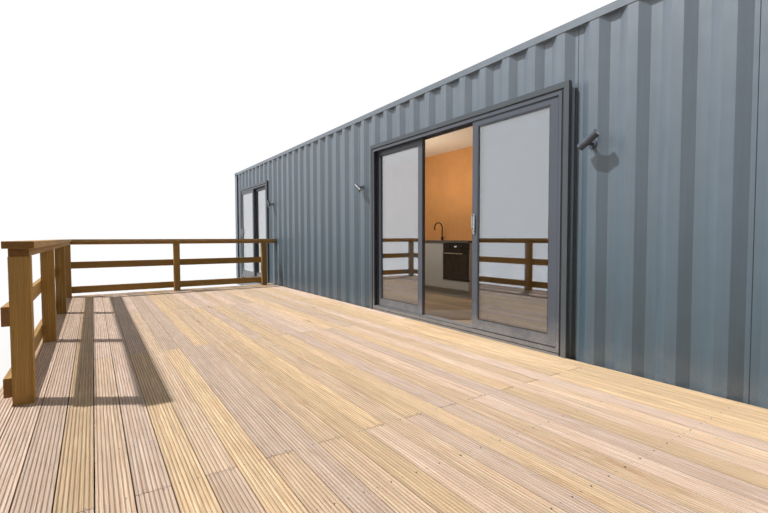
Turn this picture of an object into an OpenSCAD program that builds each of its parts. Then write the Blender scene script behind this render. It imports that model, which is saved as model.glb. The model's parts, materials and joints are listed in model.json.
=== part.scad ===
// Shipping container cabin: a forty foot high cube container with two sets of sliding
// glass doors, a small kitchen inside, wall lights and a timber deck with its balustrade.
// Millimetres. X runs along the container, the doors and the deck face -Y, Z is up.

/* [Container] */
// Length over the corner castings
cont_l = 12192; // [9000:1:14000]
// Width over the corner castings
cont_w = 2438; // [2300:1:2600]
// Height over the corner castings
cont_h = 2896; // [2800:1:3100]
// Thickness of the wall and roof sheet
sheet_t = 2; // [1.5:0.1:4]
// Set-back of the wall sheet behind the corner castings
sheet_in = 8; // [6:1:14]
// Set-back of the side and end rails behind the corner castings
rail_in = 3; // [1:1:5]

/* [Wall ribs] */
// Width of one whole rib and recess
rib_pitch = 278; // [240:1:320]
// Width of the flat on the outer face
rib_flat = 72; // [50:1:90]
// Width of the flat at the bottom of the recess
rib_valley = 70; // [50:1:90]
// Depth of the ribs
rib_d = 36; // [20:1:45]
// Where one outer flat of the front wall starts
rib_start = 50; // [0:1:270]
// Width of one rib and recess of the end walls
end_rib_pitch = 250; // [220:1:280]
// Width of the outer flats of the end walls
end_rib_flat = 110; // [90:1:120]
// Width of the recesses of the end walls
end_rib_valley = 104; // [90:1:110]
// Depth of the ribs of the end walls
end_rib_d = 46; // [30:1:50]
// Width of one rib and recess of the roof
roof_rib_pitch = 209; // [180:1:240]
// Width of the low flats of the roof
roof_rib_flat = 60; // [50:1:70]
// Width of the high flats of the roof
roof_rib_valley = 90; // [80:1:100]
// Depth of the ribs of the roof
roof_rib_d = 20; // [10:1:25]

/* [Container frame] */
// Height of a corner casting
cast_h = 118; // [100:1:130]
// Length of a corner casting along the container
cast_l = 178; // [160:1:200]
// Width of a corner casting across the container
cast_w = 162; // [140:1:180]
// Wall of a corner casting
cast_t = 28; // [20:1:35]
// Drop of the rails and roof below the top castings
roof_drop = 6; // [4:1:10]
// Lift of the bottom rails above the ground
rail_lift = 12; // [8:1:20]
// Height and width of the top side rails
top_rail = 60; // [50:1:80]
// Height of the bottom side rails
low_rail_h = 162; // [150:1:180]
// Width of the flanges of the bottom side rails
low_rail_w = 60; // [40:1:80]
// Thickness of the rail steel
rail_t = 4.5; // [3:0.5:6]
// Thickness of the corner post steel
post_t = 6; // [4:1:10]
// Pitch of the floor cross members
cross_pitch = 500; // [300:10:900]
// Height of the floor cross members
cross_h = 122; // [100:1:140]
// Distance of a casting's top and bottom holes from the container's end
hole_x = 103.5; // [100:0.5:105]
// Distance of a casting's top and bottom holes from the container's side
hole_y = 89.5; // [86:0.5:92]

/* [Fit-out] */
// Height of the finished floor above the ground
floor_top = 250; // [235:1:300]
// Thickness of the wall lining
lining_t = 60; // [40:1:80]

/* [Doors] */
// Distance of the three-leaf door's middle from the near end
main_from_end = 4032; // [3700:1:4400]
// Distance of the two-leaf door's middle from the far end
far_from_end = 1561; // [1500:1:1800]
// Width of a leaf of the three-leaf door
main_leaf_w = 942; // [900:1:1050]
// Width of a leaf of the two-leaf door
far_leaf_w = 932; // [880:1:1040]
// Overlap of two leaves
leaf_lap = 44; // [40:1:125]
// Height of the door surround above the floor
door_h = 2180; // [2100:1:2250]
// Face width of the door surround
trim_w = 45; // [35:1:60]
// How far the door surround stands out from the wall sheet
trim_out = 36; // [25:1:45]
// Width and depth of the groove between the surround and the door frame
groove_w = 18; // [12:1:22]
// Thickness of the surround metal
trim_t = 3; // [2:0.5:4]
// Face width of the door frame
frame_w = 45; // [35:1:55]
// Depth of the door frame
frame_d = 130; // [124:1:150]
// Height of the threshold
sill_h = 62; // [50:1:75]
// Height of the frame head
head_h = 45; // [35:1:60]
// Thickness of a door leaf
leaf_t = 44; // [38:1:48]
// Face width of a leaf's stiles
stile_w = 80; // [65:1:100]
// Face height of a leaf's top rail
leaf_top_h = 80; // [65:1:110]
// Face height of a leaf's bottom rail
leaf_low_h = 90; // [70:1:120]
// Width of the glazing bead inside a leaf
bead_w = 10; // [6:1:16]
// Step from the leaf's face back to the glazing bead
bead_in = 4; // [2:0.5:7]
// Thickness of the double glazing
glass_t = 24; // [16:1:28]
// Gap between a sliding leaf and what it passes
slide_gap = 6; // [6:1:8]
// Room left between the open sliding leaf and the jamb
open_stop = 9; // [6:1:200]
// Height of the middle of a door handle above the floor
handle_z = 1090; // [900:1:1150]
// Height of a handle's back plate
handle_h = 200; // [180:1:260]
// How far a handle stands out from the leaf
handle_out = 38; // [30:1:60]
// Distance of a handle's middle from the edge of its leaf
handle_in = 26; // [20:1:40]

/* [Wall lights] */
// Height of the wall lights above the floor
light_z = 1660; // [1500:1:1800]
// Diameter of a light head
light_d = 56; // [45:1:66]
// Length of a light head
light_l = 160; // [150:1:240]
// Wall of a light head's tube
light_t = 2.5; // [2:0.5:4]
// Depth of the open ends of a light head
light_end = 22; // [15:1:30]
// Least distance of a wall light from its door frame
light_side = 225; // [200:1:250]
// Distance of the back of a light head from the wall sheet
light_out = 50; // [45:1:70]
// Distance of a light head's middle from its pivot
light_arm = 40; // [38:1:60]
// Radius of a light's pivot pin
pin_r = 4; // [3:0.5:5]

/* [Kitchen] */
// Distance of the kitchen's left end from the middle of the long door
kit_from_door = 3200; // [3100:1:3400]
// How far the tap stands off the joint of the two units toward the oven
tap_side = 45; // [0:1:80]
// Width of one kitchen unit
unit_w = 600; // [500:1:650]
// Depth of the kitchen units
unit_d = 560; // [500:1:580]
// Height of the worktop above the floor
work_h = 910; // [850:1:950]
// Thickness of the worktop
work_t = 38; // [20:1:50]
// Height of the kitchen plinth
plinth_h = 120; // [90:1:160]
// Height of the oven front
oven_h = 595; // [560:1:610]
// Thickness of the kitchen panels
panel_t = 18; // [15:1:22]
// Height of the tap
tap_h = 320; // [250:1:380]
// Length of the sink bowl
sink_l = 460; // [350:1:520]
// Width of the sink bowl from front to back
sink_w = 360; // [300:1:380]
// Depth of the sink bowl
sink_h = 170; // [130:1:200]
// Number of ceiling lights in a row
ceiling_lamps = 5; // [3:1:7]
// Diameter of a ceiling light
lamp_d = 90; // [70:1:120]

/* [Deck] */
// Width of a deck board
board_w = 120; // [95:1:145]
// Gap between deck boards
board_gap = 5; // [4:1:8]
// Number of deck boards across the deck
boards = 29; // [20:1:34]
// Thickness of a deck board
board_t = 28; // [25:1:35]
// Gap between the container and the first board
deck_gap = 17; // [12:1:25]
// Length of the deck along the container
deck_l = 9456; // [9200:1:9700]
// Ridges on top of a deck board
board_ridges = 8; // [6:1:10]
// Width of the top of a ridge
ridge_w = 8; // [5:0.5:9]
// Depth of the grooves between the ridges
ridge_h = 3; // [2:0.5:4]
// Gap between the ends of two deck boards
end_gap = 3; // [2:0.5:5]
// Depth of the joists
joist_h = 120; // [100:1:140]
// Thickness of the joists and the rim
joist_t = 45; // [40:1:50]
// Number of joist bays between two posts
joist_bays = 4; // [3:1:5]
// Width of the bearers under the joists
bearer_w = 100; // [75:1:120]
// Distance of the bearers from the deck's edges
bearer_in = 300; // [260:1:400]
// Width of the spacers between the deck and the container
spacer_w = 100; // [60:1:150]

/* [Balustrade] */
// Side of a balustrade post
bal_post = 100; // [90:1:110]
// Distance of the outer posts from the deck's outer edge
bal_in = 110; // [90:1:130]
// Distance of the end posts from the deck's ends
bal_end_in = 110; // [90:1:130]
// Distance of the wall posts from the deck's inner edge
bal_wall = 150; // [60:1:200]
// Height of the handrail cap above the deck
bal_h = 945; // [850:1:1100]
// Width of the handrail cap
cap_w = 145; // [130:1:160]
// Thickness of the handrail cap
cap_t = 42; // [30:1:50]
// Height of the rail under the cap
under_h = 45; // [35:1:60]
// Width of the rail under the cap
under_w = 95; // [80:1:100]
// Height of a middle rail
mid_h = 112; // [90:1:130]
// Thickness of a middle rail
mid_t = 38; // [30:1:45]
// Height of the lower middle rail above the deck
mid_low = 50; // [40:1:120]
// Height of the upper middle rail above the deck
mid_high = 460; // [400:1:520]

/* [Hidden] */
eps = 1;

steel = [0.42, 0.48, 0.51];
anthracite = [0.33, 0.34, 0.37];
timber = [0.74, 0.62, 0.48];
green_timber = [0.52, 0.43, 0.26];

// Levels and faces of the container
half_l = cont_l / 2;
deck_d = deck_gap + boards * board_w + (boards - 1) * board_gap;
front = (deck_d - cont_w) / 2;
back = front + cont_w;
roof_z = cont_h - roof_drop;
sheet_front = front + sheet_in;
sheet_back = back - sheet_in;
sheet_end = half_l - sheet_in;
sheet_top = roof_z - top_rail;
sheet_low = rail_lift + low_rail_h;
ceil_z = cont_h - cast_h;
lining_front = sheet_front + rib_d + sheet_t;
lining_back = sheet_back - rib_d - sheet_t;
lining_end = sheet_end - end_rib_d - sheet_t;
room_front = lining_front + lining_t;
room_back = lining_back - lining_t;
room_end = lining_end - lining_t;
under_floor = sheet_low;

// Door openings: the clear width between the frame's jambs, and the outer sizes
main_x = half_l - main_from_end;
far_x = -half_l + far_from_end;
main_clear = 3 * main_leaf_w - 2 * leaf_lap;
far_clear = 2 * far_leaf_w - leaf_lap;
function outer_w(clear) = clear + 2 * frame_w;
door_top = floor_top + door_h;
frame_top = door_top - trim_w;
leaf_z0 = floor_top + sill_h + slide_gap;
head_lip = 5;
channel_z = frame_top - groove_w - head_lip;
leaf_z1 = channel_z - slide_gap;
frame_y0 = sheet_front - trim_out + trim_t;
outer_track = frame_y0 + head_lip + slide_gap;
inner_track = outer_track + leaf_t + slide_gap;
main_open_x = main_x + main_clear / 2 - main_leaf_w - open_stop;

// Deck levels
deck_z = floor_top;
board_z = deck_z - board_t;
joist_z = board_z - joist_h;
deck_out = front - deck_d;
deck_in = front - deck_gap;
deck_near = half_l;
deck_far = half_l - deck_l;
outer_post_y = deck_out + bal_in;
far_post_x = deck_far + bal_end_in;
near_post_x = deck_near - bal_end_in - bal_post;
wall_post_y = deck_in - bal_post - bal_wall;
bal_bays = 5;
bal_pitch = (near_post_x - far_post_x) / bal_bays;

// One course of trapezoid ribs as an open line: outer flats at 0, recesses at depth
function ribs(first, last, pitch, flat, valley, depth) =
    let (slope = (pitch - flat - valley) / 2,
         count = ceil((last - first) / pitch) + 1)
    [for (i = [0 : count]) for (p = [[0, 0], [flat, 0], [flat + slope, depth],
        [flat + slope + valley, depth]]) [first + i * pitch + p[0], p[1]]];

// The height of the rib line at one place along it
function rib_at(x, line, i = 0) =
    x <= line[i + 1][0] ? line[i][1] + (line[i + 1][1] - line[i][1])
        * (x - line[i][0]) / (line[i + 1][0] - line[i][0]) : rib_at(x, line, i + 1);

// A closed sheet outline between two places along the rib line
module rib_outline(x0, x1, line, t) {
    inner = [for (p = line) if (p[0] > x0 && p[0] < x1) p];
    path = concat([[x0, rib_at(x0, line)]], inner, [[x1, rib_at(x1, line)]]);
    polygon(concat(path, [for (i = [len(path) - 1 : -1 : 0]) path[i] + [0, t]]));
}

// The rib line of the long walls starts outside the far end
wall_line = ribs(rib_start - rib_pitch * (floor(half_l / rib_pitch) + 2), half_l,
    rib_pitch, rib_flat, rib_valley, rib_d);

module front_sheet(x0, x1, z0, z1) {
    color(steel) translate([0, sheet_front, z0])
        linear_extrude(z1 - z0) rib_outline(x0, x1, wall_line, sheet_t);
}

// Box between two corners
module span(a, b) {
    translate(a) cube(b - a);
}

// Length and width of the oval holes of the castings
side_hole = [79.5, 51];
lock_hole = [124.5, 63.5];

// A corner casting with its three oval holes, its outer corner at the origin
module casting(up) {
    color(steel) difference() {
        cube([cast_l, cast_w, cast_h]);
        translate([cast_t, cast_t, cast_t])
            cube([cast_l - 2 * cast_t, cast_w - 2 * cast_t, cast_h - 2 * cast_t]);
        translate([hole_x, cast_t / 2, cast_h / 2]) rotate([90, 0, 0])
            slot(side_hole[0], side_hole[1], cast_t + 2 * eps);
        translate([cast_t / 2, hole_y, cast_h / 2]) rotate([90, 0, 90])
            slot(side_hole[0], side_hole[1], cast_t + 2 * eps);
        translate([hole_x, hole_y, up ? cast_h - cast_t / 2 : cast_t / 2])
            slot(lock_hole[0], lock_hole[1], cast_t + 2 * eps);
    }
}

module slot(l, w, h) {
    linear_extrude(h, center = true) {
        square([l - w, w], center = true);
        for (s = [-1, 1]) translate([s * (l - w) / 2, 0]) circle(d = w, $fn = 32);
    }
}

// Places a piece at the four corners, mirrored so that its origin is the outer corner
module corners() {
    translate([0, (front + back) / 2, 0]) for (sx = [0, 1]) for (sy = [0, 1])
        mirror([sx, 0, 0]) mirror([0, sy, 0]) translate([-half_l, -cont_w / 2, 0]) children();
}

module corner_castings() {
    corners() {
        casting(false);
        translate([0, 0, cont_h - cast_h]) casting(true);
    }
}

// Room for the castings in what lies between the rails
module casting_room() {
    corners() translate([-eps, -eps, cont_h - cast_h - eps])
        cube([cast_l + eps + seat, cast_w + eps + seat, cast_h + 2 * eps]);
}

module corner_posts() {
    color(steel) corners() translate([rail_in, rail_in, cast_h])
        linear_extrude(cont_h - 2 * cast_h) difference() {
            square([cast_l - rail_in, cast_w - rail_in]);
            translate([post_t, post_t]) square([cast_l, cast_w]);
        }
}

module top_side_rails() {
    color(steel) for (y = [front + rail_in, back - rail_in - top_rail])
        translate([-half_l + cast_l, y, sheet_top]) difference() {
            cube([cont_l - 2 * cast_l, top_rail, top_rail]);
            translate([-eps, rail_t, rail_t]) cube([cont_l, top_rail - 2 * rail_t,
                top_rail - 2 * rail_t]);
        }
}

module bottom_side_rails() {
    color(steel) translate([0, (front + back) / 2, 0]) for (s = [0, 1]) mirror([0, s, 0])
        translate([-half_l + cast_l, -cont_w / 2 + rail_in, rail_lift]) difference() {
            cube([cont_l - 2 * cast_l, low_rail_w, low_rail_h]);
            translate([-eps, rail_t, rail_t]) cube([cont_l, low_rail_w, low_rail_h - 2 * rail_t]);
        }
}

module end_rails() {
    color(steel) for (s = [0, 1]) mirror([s, 0, 0]) {
        translate([-half_l + rail_in, front + cast_w, rail_lift]) difference() {
            cube([low_rail_w, cont_w - 2 * cast_w, low_rail_h]);
            translate([rail_t, -eps, rail_t]) cube([low_rail_w, cont_w, low_rail_h - 2 * rail_t]);
        }
        translate([-half_l + rail_in, front + cast_w, sheet_top]) difference() {
            cube([top_rail, cont_w - 2 * cast_w, top_rail]);
            translate([rail_t, -eps, rail_t]) cube([top_rail - 2 * rail_t, cont_w,
                top_rail - 2 * rail_t]);
        }
    }
}

cross_w = 45;
module cross_members() {
    n = floor((cont_l - 2 * cast_l) / cross_pitch);
    first = -(n - 1) * cross_pitch / 2;
    edge = rail_in + low_rail_w;
    color(steel) for (i = [0 : n - 1])
        translate([first + i * cross_pitch, front + edge, under_floor - cross_h]) difference() {
            cube([cross_w, cont_w - 2 * edge, cross_h]);
            translate([rail_t, -eps, rail_t]) cube([cross_w, cont_w, cross_h - 2 * rail_t]);
        }
}

module roof_sheet() {
    line = ribs(-half_l - roof_rib_pitch, half_l, roof_rib_pitch, roof_rib_flat, roof_rib_valley,
        -roof_rib_d);
    color(steel) difference() {
        translate([0, back - rail_in - top_rail, roof_z]) rotate([90, 0, 0])
            linear_extrude(cont_w - 2 * (rail_in + top_rail))
                rib_outline(-half_l + rail_in + top_rail, half_l - rail_in - top_rail, line, -sheet_t);
        casting_room();
    }
}

// Walls of ribbed sheet, split beside and over the two doors
main_x0 = main_x - outer_w(main_clear) / 2;
main_x1 = main_x + outer_w(main_clear) / 2;
far_x0 = far_x - outer_w(far_clear) / 2;
far_x1 = far_x + outer_w(far_clear) / 2;
wall_x0 = -half_l + cast_l;
wall_x1 = half_l - cast_l;

module front_wall_far() front_sheet(wall_x0, far_x0, sheet_low, sheet_top);
module front_wall_middle() front_sheet(far_x1, main_x0, sheet_low, sheet_top);
module front_wall_near() front_sheet(main_x1, wall_x1, sheet_low, sheet_top);
module front_wall_over_doors() {
    front_sheet(far_x0, far_x1, frame_top, sheet_top);
    front_sheet(main_x0, main_x1, frame_top, sheet_top);
}

module back_wall() {
    translate([0, sheet_front + sheet_back, 0]) mirror([0, 1, 0])
        front_sheet(wall_x0, wall_x1, sheet_low, sheet_top);
}

module end_walls() {
    span_y = cont_w - 2 * cast_w;
    first = -(ceil(span_y / 2 / end_rib_pitch) + 0.5) * end_rib_pitch - end_rib_flat / 2;
    line = ribs(first, span_y, end_rib_pitch, end_rib_flat, end_rib_valley, end_rib_d);
    color(steel) for (s = [0, 1]) mirror([s, 0, 0])
        translate([-sheet_end, (front + back) / 2, sheet_low]) rotate([0, 0, -90]) mirror([1, 0])
            linear_extrude(sheet_top - sheet_low) rib_outline(-span_y / 2, span_y / 2, line, sheet_t);
}

module floor_panel() {
    color("tan") span([-lining_end, lining_front, under_floor], [lining_end, lining_back, floor_top]);
}

module ceiling() {
    color("wheat") difference() {
        span([-lining_end, lining_front, ceil_z], [lining_end, lining_back, sheet_top - seat]);
        casting_room();
    }
}

module front_lining(x0, x1, z0 = floor_top) {
    color("white") span([x0, lining_front, z0], [x1, room_front, ceil_z]);
}

module front_lining_far() front_lining(-lining_end, far_x0);
module front_lining_middle() front_lining(far_x1, main_x0);
module front_lining_near() front_lining(main_x1, lining_end);
module front_lining_over_doors() {
    front_lining(far_x0, far_x1, frame_top);
    front_lining(main_x0, main_x1, frame_top);
}

module back_lining() {
    color("sandybrown") span([-lining_end, room_back, floor_top], [lining_end, lining_back, ceil_z]);
}

module end_linings() {
    color("white") for (s = [0, 1]) mirror([s, 0, 0])
        span([-lining_end, room_front, floor_top], [-room_end, room_back, ceil_z]);
}

// A block as wide and high as a door frame, grown by some amount at its sides and top
module door_block(x, clear, grow, y0, y1, low) {
    w = outer_w(clear) + 2 * grow;
    span([x - w / 2, y0, low], [x + w / 2, y1, frame_top + grow]);
}

// Door surround: metal folded to a channel that stands out round the frame, open at the foot
module surround(x, clear) {
    y0 = sheet_front - trim_out;
    low = deck_z - eps;
    color(steel) difference() {
        door_block(x, clear, trim_w, y0, sheet_front, deck_z);
        difference() {
            door_block(x, clear, trim_w - trim_t, y0 + trim_t, sheet_front + eps, low);
            door_block(x, clear, trim_t, y0, sheet_front + 2 * eps, low - eps);
        }
        door_block(x, clear, 0, y0 - eps, sheet_front + 2 * eps, low);
    }
}

// A seat leaves this much free; the leaves run on narrow tracks on the threshold
seat = 0.3;
track_w = 8;

// Door frame: jambs, a head with a channel for the leaves, a groove next to the surround,
// and a threshold with two upstands that guide the leaves
module door_frame(x, clear) {
    sill_z = floor_top + sill_h;
    low = floor_top - eps;
    color(anthracite) {
        difference() {
            door_block(x, clear, 0, frame_y0, frame_y0 + frame_d, floor_top);
            span([x - clear / 2, frame_y0 - eps, sill_z],
                [x + clear / 2, frame_y0 + frame_d + eps, frame_top - head_h]);
            span([x - clear / 2, outer_track - slide_gap, sill_z],
                [x + clear / 2, inner_track + leaf_t + slide_gap, channel_z]);
            difference() {
                door_block(x, clear, eps, frame_y0 - eps, frame_y0 + groove_w, low);
                door_block(x, clear, -groove_w, frame_y0 - 2 * eps, frame_y0 + groove_w + eps, low - eps);
            }
        }
        for (y = [outer_track, inner_track])
            translate([x - clear / 2, y + (leaf_t - track_w) / 2, sill_z])
                cube([clear, track_w, slide_gap - seat]);
    }
}

// The open middle of a leaf of a given width, grown all round, between two depths
module pane_block(w, grow, y0, y1) {
    span([stile_w - grow, y0, leaf_low_h - grow],
        [w - stile_w + grow, y1, leaf_z1 - leaf_z0 - leaf_top_h + grow]);
}

// One door leaf frame with a stepped glazing bead on both faces, its lower corner at the origin
module leaf(w) {
    color(anthracite) difference() {
        cube([w, leaf_t, leaf_z1 - leaf_z0]);
        pane_block(w, 0, -eps, leaf_t + eps);
        pane_block(w, bead_w, -eps, bead_in);
        pane_block(w, bead_w, leaf_t - bead_in, leaf_t + eps);
    }
}

module leaf_glass(w) {
    color([0.6, 0.7, 0.75, 0.4]) pane_block(w, 0, (leaf_t - glass_t) / 2, (leaf_t + glass_t) / 2);
}

// Places of the leaves: fixed leaves in the inner track, sliding leaves in the outer one
module main_fixed_places() {
    for (x = [main_x - main_clear / 2, main_x + main_clear / 2 - main_leaf_w])
        translate([x, inner_track, leaf_z0]) children();
}

module far_fixed_place() {
    translate([far_x + far_clear / 2 - far_leaf_w, inner_track, leaf_z0]) children();
}

module main_slide_place() {
    translate([main_open_x, outer_track, leaf_z0]) children();
}

module far_slide_place() {
    translate([far_x - far_clear / 2 + slide_gap, outer_track, leaf_z0]) children();
}

module main_door_surround() surround(main_x, main_clear);
module main_door_frame() door_frame(main_x, main_clear);
module main_door_fixed_leaves() main_fixed_places() leaf(main_leaf_w);
module main_door_fixed_glass() main_fixed_places() leaf_glass(main_leaf_w);
module main_door_sliding_leaf() main_slide_place() leaf(main_leaf_w);
module main_door_sliding_glass() main_slide_place() leaf_glass(main_leaf_w);
module far_door_surround() surround(far_x, far_clear);
module far_door_frame() door_frame(far_x, far_clear);
module far_door_fixed_leaf() far_fixed_place() leaf(far_leaf_w);
module far_door_fixed_glass() far_fixed_place() leaf_glass(far_leaf_w);
module far_door_sliding_leaf() far_slide_place() leaf(far_leaf_w);
module far_door_sliding_glass() far_slide_place() leaf_glass(far_leaf_w);

// A bow handle on a round-ended back plate with a lock cylinder below it
plate_w = 26;
plate_t = 8;
grip_d = 12;
lock_d = 22;
module handle() {
    bow = handle_out - grip_d / 2;
    low = -handle_h / 4 + grip_d;
    high = handle_h / 2 - plate_w / 2;
    color("silver") {
        translate([0, -plate_t / 2, 0]) rotate([90, 90, 0]) slot(handle_h, plate_w, plate_t);
        for (z = [low, high]) translate([0, 0, z]) {
            rotate([90, 0, 0]) cylinder(h = bow, d = grip_d, $fn = 32);
            translate([0, -bow, 0]) sphere(d = grip_d, $fn = 32);
        }
        translate([0, -bow, low]) cylinder(h = high - low, d = grip_d, $fn = 32);
        translate([0, 0, (low - handle_h / 2) / 2]) rotate([90, 0, 0])
            cylinder(h = plate_t * 2, d = lock_d, $fn = 32);
    }
}

module main_door_handle() {
    translate([main_open_x + handle_in, outer_track, floor_top + handle_z]) handle();
}

module far_door_handle() {
    translate([far_x - far_clear / 2 + slide_gap + handle_in, outer_track,
        floor_top + handle_z]) handle();
}

// Wall lights: a bracket on the outer flat nearest to its place, and a head that turns on its
// spindle and lies along the wall
function flat_near(x) =
    let (middle = rib_start + rib_flat / 2)
    middle + rib_pitch * round((x - middle) / rib_pitch);
light_x = [flat_near(main_x1 + trim_w + light_side), flat_near(main_x0 - trim_w - light_side),
    flat_near(far_x1 + trim_w + light_side)];
light_turn = [56, -57, -30];
// How far each head's middle sits up its own axis from the spindle
light_shift = [25, -30, 0];
pivot_y = sheet_front - light_out;
plate_r = 34;
light_plate_t = 8;
stem_r = 13;
boss_r = 16;
boss_gap = 1;
spindle_l = 12;
ring_h = 3;
ring_in = 1.5;

module light_places() {
    for (x = light_x) translate([x, pivot_y, floor_top + light_z]) children();
}

module light_brackets() {
    color(anthracite) light_places() rotate([-90, 0, 0]) {
        translate([0, 0, light_out - light_plate_t])
            cylinder(h = light_plate_t, r = plate_r, $fn = 48);
        translate([0, 0, boss_gap]) cylinder(h = light_out - boss_gap, r = stem_r, $fn = 40);
        translate([0, 0, -spindle_l]) cylinder(h = spindle_l + 2 * boss_gap, r = pin_r, $fn = 32);
    }
}

// The tube of a head: open at both ends, with a groove under the cap ring at each end
module light_tube() {
    difference() {
        cylinder(h = light_l, d = light_d, center = true, $fn = 48);
        for (s = [0, 1]) mirror([0, 0, s]) {
            translate([0, 0, light_l / 2 - light_end])
                cylinder(h = light_end + eps, d = light_d - 2 * light_t, $fn = 48);
            translate([0, 0, light_l / 2 - light_end - 3 * ring_h]) difference() {
                cylinder(h = ring_h, d = light_d + 2 * eps, $fn = 48);
                translate([0, 0, -eps])
                    cylinder(h = ring_h + 2 * eps, d = light_d - 2 * ring_in, $fn = 48);
            }
        }
    }
}

module light_head(i) {
    color(anthracite) translate([light_x[i], pivot_y, floor_top + light_z])
        rotate([0, light_turn[i], 0]) difference() {
            union() {
                translate([0, -light_arm, light_shift[i]]) light_tube();
                rotate([90, 0, 0]) cylinder(h = light_arm, r = boss_r, $fn = 40);
            }
            translate([0, eps, 0]) rotate([90, 0, 0])
                cylinder(h = spindle_l + boss_gap + eps, r = pin_r + seat, $fn = 32);
        }
}

module light_head_near() light_head(0);
module light_head_middle() light_head(1);
module light_head_far() light_head(2);

// Round ceiling lights evenly spaced along the room, each with a raised rim
lamp_h = 12;
lamp_rim = 8;
module ceiling_lights() {
    step = 2 * room_end / ceiling_lamps;
    color("white") for (i = [0 : ceiling_lamps - 1])
        translate([-room_end + (i + 0.5) * step, (room_front + room_back) / 2, ceil_z - lamp_h])
            difference() {
                cylinder(h = lamp_h, d = lamp_d, $fn = 40);
                translate([0, 0, -eps]) cylinder(h = lamp_h / 2, d = lamp_d - 2 * lamp_rim, $fn = 40);
            }
}

// Kitchen along the back wall: a double unit with the sink and a single one with the oven
kit_x0 = main_x - kit_from_door;
oven_x = kit_x0 + 2 * unit_w;
kit_x1 = kit_x0 + 3 * unit_w;
kit_y = room_back - unit_d;
unit_top = floor_top + work_h - work_t;
unit_low = floor_top + plinth_h;
front_t = 20;
front_y = kit_y - front_t;
front_gap = 2;
work_out = 10;
plinth_in = 40;
finger_h = 10;
brace_h = 100;
oven_top = unit_top - finger_h;
oven_z = oven_top - oven_h;

module kitchen_front(x0, x1, z1) {
    span([x0 + front_gap, front_y, unit_low], [x1 - front_gap, kit_y, z1]);
}

module kitchen_units() {
    color("gainsboro") {
        for (x = [kit_x0, oven_x - panel_t, oven_x, kit_x1 - panel_t])
            span([x, kit_y, unit_low], [x + panel_t, room_back, unit_top]);
        span([kit_x0, kit_y, unit_low], [kit_x1, room_back, unit_low + panel_t]);
        span([kit_x0, room_back - panel_t, unit_low], [kit_x1, room_back, unit_top]);
        span([kit_x0, kit_y, unit_top - finger_h - brace_h], [oven_x, kit_y + panel_t, unit_top]);
        span([oven_x, kit_y, oven_z - panel_t], [kit_x1, room_back, oven_z]);
        for (x = [kit_x0, kit_x0 + unit_w]) kitchen_front(x, x + unit_w, unit_top - finger_h);
        kitchen_front(oven_x, kit_x1, oven_z - finger_h);
    }
}

module kitchen_plinth() {
    color("gainsboro") span([kit_x0, kit_y + plinth_in, floor_top], [kit_x1, room_back, unit_low]);
}

// The sink bowl hangs under the worktop, in front of the tap
tap_x = kit_x0 + unit_w + tap_side;
tap_back = 110;
tap_y = room_back - tap_back;
sink_back = 45;
sink_r = 60;
sink_t = 2;
sink_rim = 12;

// A plate with round corners, its middle at the sink's middle, from one level to another
module sink_block(grow, z0, z1) {
    l = sink_l + 2 * grow;
    w = sink_w + 2 * grow;
    r = sink_r + grow;
    translate([tap_x, tap_y - sink_back - sink_w / 2, z0]) linear_extrude(z1 - z0) {
        square([l - 2 * r, w], center = true);
        square([l, w - 2 * r], center = true);
        for (x = [-1, 1]) for (y = [-1, 1])
            translate([x * (l / 2 - r), y * (w / 2 - r)]) circle(r, $fn = 48);
    }
}

module sink() {
    color("silver") difference() {
        union() {
            sink_block(sink_t, unit_top - sink_h - sink_t, unit_top);
            sink_block(sink_rim, unit_top - sink_t, unit_top);
        }
        sink_block(0, unit_top - sink_h, unit_top + eps);
    }
}

module worktop() {
    color([0.1, 0.1, 0.1]) difference() {
        span([kit_x0, front_y - work_out, unit_top], [kit_x1, room_back, unit_top + work_t]);
        sink_block(0, unit_top - eps, unit_top + work_t + eps);
    }
}

// Swan neck tap: a foot, a riser, a half circle, a short drop and a lever at its side
tap_r = 90;
tap_pipe = 22;
tap_foot = 44;
foot_h = 60;
drop_h = 40;
lever_l = 60;
lever_d = 12;
module tap() {
    color([0.1, 0.1, 0.1]) translate([tap_x, tap_y, unit_top + work_t]) {
        cylinder(h = foot_h, d = tap_foot, $fn = 32);
        cylinder(h = tap_h - tap_r, d = tap_pipe, $fn = 24);
        translate([0, -tap_r, tap_h - tap_r]) rotate([0, -90, 0]) rotate([0, 0, -90])
            rotate_extrude(angle = 180, $fn = 48) translate([tap_r, 0]) circle(d = tap_pipe, $fn = 24);
        translate([0, -2 * tap_r, tap_h - tap_r - drop_h]) cylinder(h = drop_h, d = tap_pipe, $fn = 24);
        translate([0, 0, foot_h - lever_d]) rotate([0, 90, 0]) cylinder(h = lever_l, d = lever_d, $fn = 24);
    }
}

// Oven: a body with its cavity, a control strip with two knobs, and cheeks that carry the pins
oven_side = 3;
cheek_t = 5;
cheek_out = 6;
cheek_h = 28;
door_side = 14;
door_gap = 6;
door_out = 8;
corner_cut = 8;
pin_in = 8;
hinge_up = 10;
hinge_in = 17;
hinge_z = oven_z + hinge_up;
hinge_y = kit_y - hinge_in;
hinge_r = 3;
strip_h = 100;
knob_d = 38;
knob_out = 16;
knob_apart = 300;
oven_wall = 52;
oven_low = 60;
oven_back = 60;

module oven_pin(x, play, l) {
    translate([x, hinge_y, hinge_z]) rotate([0, 90, 0]) cylinder(h = l, r = hinge_r + play, $fn = 32);
}

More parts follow.
